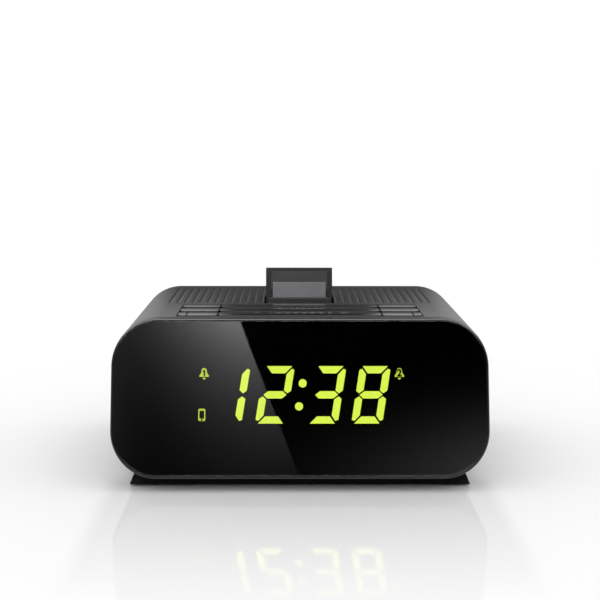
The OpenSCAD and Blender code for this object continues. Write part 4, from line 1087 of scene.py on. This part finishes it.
def make_icons():
    """Two alarm bells with their numbers, and a phone sign, on their dark backing."""
    front = LENS_T + MASK_T
    back = front + SIGN_T
    left, right, foot, head = reach("icon_cells")
    backing = copy_of("icon_cells", "sign_backing")
    slice_off(backing, on_panel(0, 0, back + SIGN_BACKING_GAP), PANEL_OUT)
    finish(backing, "chassis", DARK_RESIN, ["icon_cells"])
    lit = [make_phone_sign(left + PHONE_FROM_LEFT, foot + PHONE_FROM_FOOT, front, back)]
    top = head - BELL_FROM_HEAD
    bells = (left + BELL_FROM_LEFT, right - BELL_FROM_RIGHT)
    for x in bells:
        lit.append(panel_prism("bell", bell_shape(), x, top, front, back))
        lit.append(panel_prism("clapper", clapper_shape(), x, top + CLAPPER_UP, front, back))
    depths = [front + depth for depth in NUMBER_DEPTHS]
    numbers = [panel_prism("one", ONE, bells[0], top + NUMBER_UP, *depths),
               panel_two(bells[1], top + NUMBER_UP, *depths)]
    finish(gather("signs", lit), "chassis", SIGN_RESIN, ["icon_cells"])
    finish(gather("sign_numbers", numbers), "chassis", DARK_RESIN)


# ---- frame nodes that keep their shape ----

def paint_nodes():
    """Gives every frame node the procedural material of its slot."""
    slots = {part["node"]: part["material_slot"] for part in frame["record"]["subparts"]}
    for name, node in frame["nodes"].items():
        node.data.materials.clear()
        node.data.materials.append(MATERIALS[slots[name]])
    return slots


# How far the edges of these nodes are rounded.
SOFTENED = {
    "rear_cover": 0.2, "bottom_cover": 0.25, "battery_door": 0.2, "rubber_feet": 0.2,
    "dock_pod": 0.25, "dock_well": 0.2, "dock_plug": 0.08, "back_rest": 0.3, "rest_pad": 0.15,
    "audio_socket": 0.15, "power_inlet": 0.15, "aerial_gland": 0.12, "key_frame": 0.15,
    "rear_screws": 0.12, "bottom_screws": 0.12}


# ---- camera, light and stage, in metres ----

CAMERA_PLACE = (-0.0031, -0.44763, 0.1214)
CAMERA_DOWN = math.radians(7.946)
CAMERA_ASIDE = math.radians(-0.425)
CAMERA_ROLL = math.radians(0.09)
QUARTER_TURN = math.radians(90)


def make_camera():
    """A long lens a little above the radio, looking slightly down at its panel."""
    data = bpy.data.cameras.new("camera")
    data.lens = 72
    data.sensor_width = 36
    data.clip_start = 0.01
    data.clip_end = 20
    camera = bpy.data.objects.new("camera", data)
    camera.location = CAMERA_PLACE
    aim = Euler((QUARTER_TURN - CAMERA_DOWN, 0, CAMERA_ASIDE)).to_matrix()
    roll = Matrix.Rotation(CAMERA_ROLL, 3, "Z")
    camera.rotation_euler = (aim @ roll).to_euler()
    bpy.context.scene.collection.objects.link(camera)
    bpy.context.scene.camera = camera


def gloss_lamp(name, place, aim, size, power):
    """A soft rectangular lamp, turned towards a point, that lights only the gloss."""
    data = bpy.data.lights.new(name, "AREA")
    data.shape = "RECTANGLE"
    data.size, data.size_y = size
    data.energy = power
    lamp = bpy.data.objects.new(name, data)
    lamp.location = place
    lamp.rotation_euler = (Vector(aim) - Vector(place)).to_track_quat("-Z", "Y").to_euler()
    lamp.visible_diffuse = False
    bpy.context.scene.collection.objects.link(lamp)


def make_floor():
    """A pale floor with a polished strip in front of the radio."""
    bpy.ops.mesh.primitive_plane_add(size=8, location=(0, 0, 0))
    floor = bpy.context.object
    floor.name = "floor"
    material, tree, shader = new_material(
        "pale_floor", Roughness=0.6, Specular_IOR_Level=0.0, Coat_Roughness=0.05, Coat_IOR=1.9)
    shader.inputs["Base Color"].default_value = (0.98, 0.98, 0.98, 1)
    place = xyz(tree, object_coordinates(tree))
    far_end = ramp(tree, place["Y"], -0.19, -0.07)
    near_end = ramp(tree, place["Y"], -0.03, -0.044)
    between = ramp(tree, maths(tree, "ABSOLUTE", place["X"]), 0.07, 0.062)
    polished = maths(tree, "MULTIPLY", maths(tree, "MULTIPLY", far_end, near_end), between)
    tree.links.new(polished, shader.inputs["Coat Weight"])
    floor.data.materials.append(material)


def glow_material(name):
    """A material that only gives off light, its tree and the socket of its strength."""
    material = bpy.data.materials.new(name)
    material.use_nodes = True
    tree = material.node_tree
    tree.nodes.clear()
    emission = put(tree, "ShaderNodeEmission")
    put(tree, "ShaderNodeOutputMaterial", None, {"Surface": emission.outputs[0]})
    return material, tree, emission.inputs["Strength"]


def stage_card(name, place, turn, size, hidden_from, material):
    """An upright card on the stage that some kinds of ray pass by."""
    bpy.ops.mesh.primitive_plane_add(size=1, location=place,
                                     rotation=(QUARTER_TURN, 0, turn))
    card = bpy.context.object
    card.name = name
    card.scale = (*size, 1)
    freeze(card)
    for way in hidden_from:
        setattr(card, "visible_" + way, False)
    card.data.materials.append(material)


def make_dim_cards():
    """Dim cards close behind and beside the radio, seen only in reflections, that keep its
    satin faces dark. A brighter band on them lights the crowns of the keys, and they are
    darkest over the dock."""
    material, tree, strength = glow_material("dim_card")
    place = xyz(tree, object_coordinates(tree))
    away = maths(tree, "ABSOLUTE", place["X"])
    sideways = ramp(tree, away, 0.05, 0.075, to_low=0.1, to_high=0.5)
    band = bell_curve(tree, place["Z"], middle=0.108, width=0.017)
    band = maths(tree, "MULTIPLY", band, 1.7)
    low_down = ramp(tree, place["Z"], 0.02, 0.05, to_low=0.3)
    over_dock = maths(tree, "MULTIPLY", ramp(tree, away, 0.037, 0.031),
                      ramp(tree, place["Z"], 0.078, 0.086))
    beside_dock = maths(tree, "MULTIPLY_ADD", over_dock, -0.97, 1.0)
    shade = maths(tree, "MULTIPLY", low_down, beside_dock)
    glow = maths(tree, "MULTIPLY", maths(tree, "ADD", sideways, band), shade)
    tree.links.new(glow, strength)
    hidden_from = ("camera", "diffuse", "transmission", "shadow")
    stage_card("rear_card", place=(0, 0.075, 0.13), turn=0, size=(0.24, 0.24),
               hidden_from=hidden_from, material=material)
    for name, x in (("left_card", -0.12), ("right_card", 0.12)):
        stage_card(name, place=(x, 0.018, 0.13), turn=QUARTER_TURN, size=(0.115, 0.24),
                   hidden_from=hidden_from, material=material)


def make_studio_card():
    """A black card in front of the panel, seen only in reflections. A lit wedge on it has one
    straight leaning edge, and a faint glow lies low on its right."""
    material, tree, strength = glow_material("studio_card")
    place = xyz(tree, object_coordinates(tree))
    top, bottom = Vector((-0.0563, 0.3338)), Vector((0.0056, 0.1685))
    slope = (top.x - bottom.x) / (top.y - bottom.y)
    edge_x = maths(tree, "MULTIPLY_ADD", place["Z"], slope, bottom.x - slope * bottom.y)
    in_wedge = ramp(tree, maths(tree, "SUBTRACT", edge_x, place["X"]), -0.0004, 0.0004)
    sideways = bell_curve(tree, place["X"], middle=-0.0205, width=0.0923)
    upwards = fading(tree, place["Z"], start=top.y, length=0.0478)
    wedge = maths(tree, "MULTIPLY", maths(tree, "MULTIPLY", sideways, upwards), 4.6)
    leftwards = maths(tree, "MULTIPLY", place["X"], -1.0)
    far_left = fading(tree, leftwards, start=0.19, length=0.02)
    wedge = maths(tree, "ADD", wedge, maths(tree, "MULTIPLY", far_left, 0.36))
    right = maths(tree, "MULTIPLY", bell_curve(tree, place["X"], middle=0.4, width=0.209),
                  bell_curve(tree, place["Z"], middle=0.16, width=0.0593))
    right = maths(tree, "MULTIPLY", right, 2.0)
    glow = put(tree, "ShaderNodeMix", None, {"Factor": in_wedge, 2: right, 3: wedge})
    tree.links.new(glow.outputs[0], strength)
    stage_card("studio_card", place=(0, -0.8, 0.5), turn=0, size=(2.0, 1.1),
               hidden_from=("camera", "diffuse", "shadow"), material=material)


def make_stage():
    """White surroundings, a pale floor, the reflected cards and three soft lamps."""
    world = bpy.data.worlds.new("studio")
    bpy.context.scene.world = world
    world.use_nodes = True
    background = world.node_tree.nodes["Background"]
    background.inputs["Color"].default_value = (1, 1, 1, 1)
    background.inputs["Strength"].default_value = 1.03
    bpy.context.scene.view_settings.view_transform = "Standard"
    make_floor()
    make_studio_card()
    make_dim_cards()
    for x in (-0.45, 0.45):
        gloss_lamp("sheen_lamp", place=(x, 0.35, 0.4), aim=(0, 0, 0.05), size=(0.3, 0.3),
                   power=3)
    gloss_lamp("rim_lamp", place=(0, -0.25, 0.45), aim=(0, -0.04, 0.05), size=(1.0, 0.45),
               power=7)


make_camera()
make_stage()
slots = paint_nodes()
for softened_node, width in SOFTENED.items():
    dressed(softened_node, MATERIALS[slots[softened_node]], width)
make_bezel()
make_lens()
make_cabinet()
for key_node in [name for name in frame["nodes"] if name.startswith("key_")
                 and name.endswith(("left", "middle", "right"))]:
    make_key(key_node)
make_strokes()
make_icons()
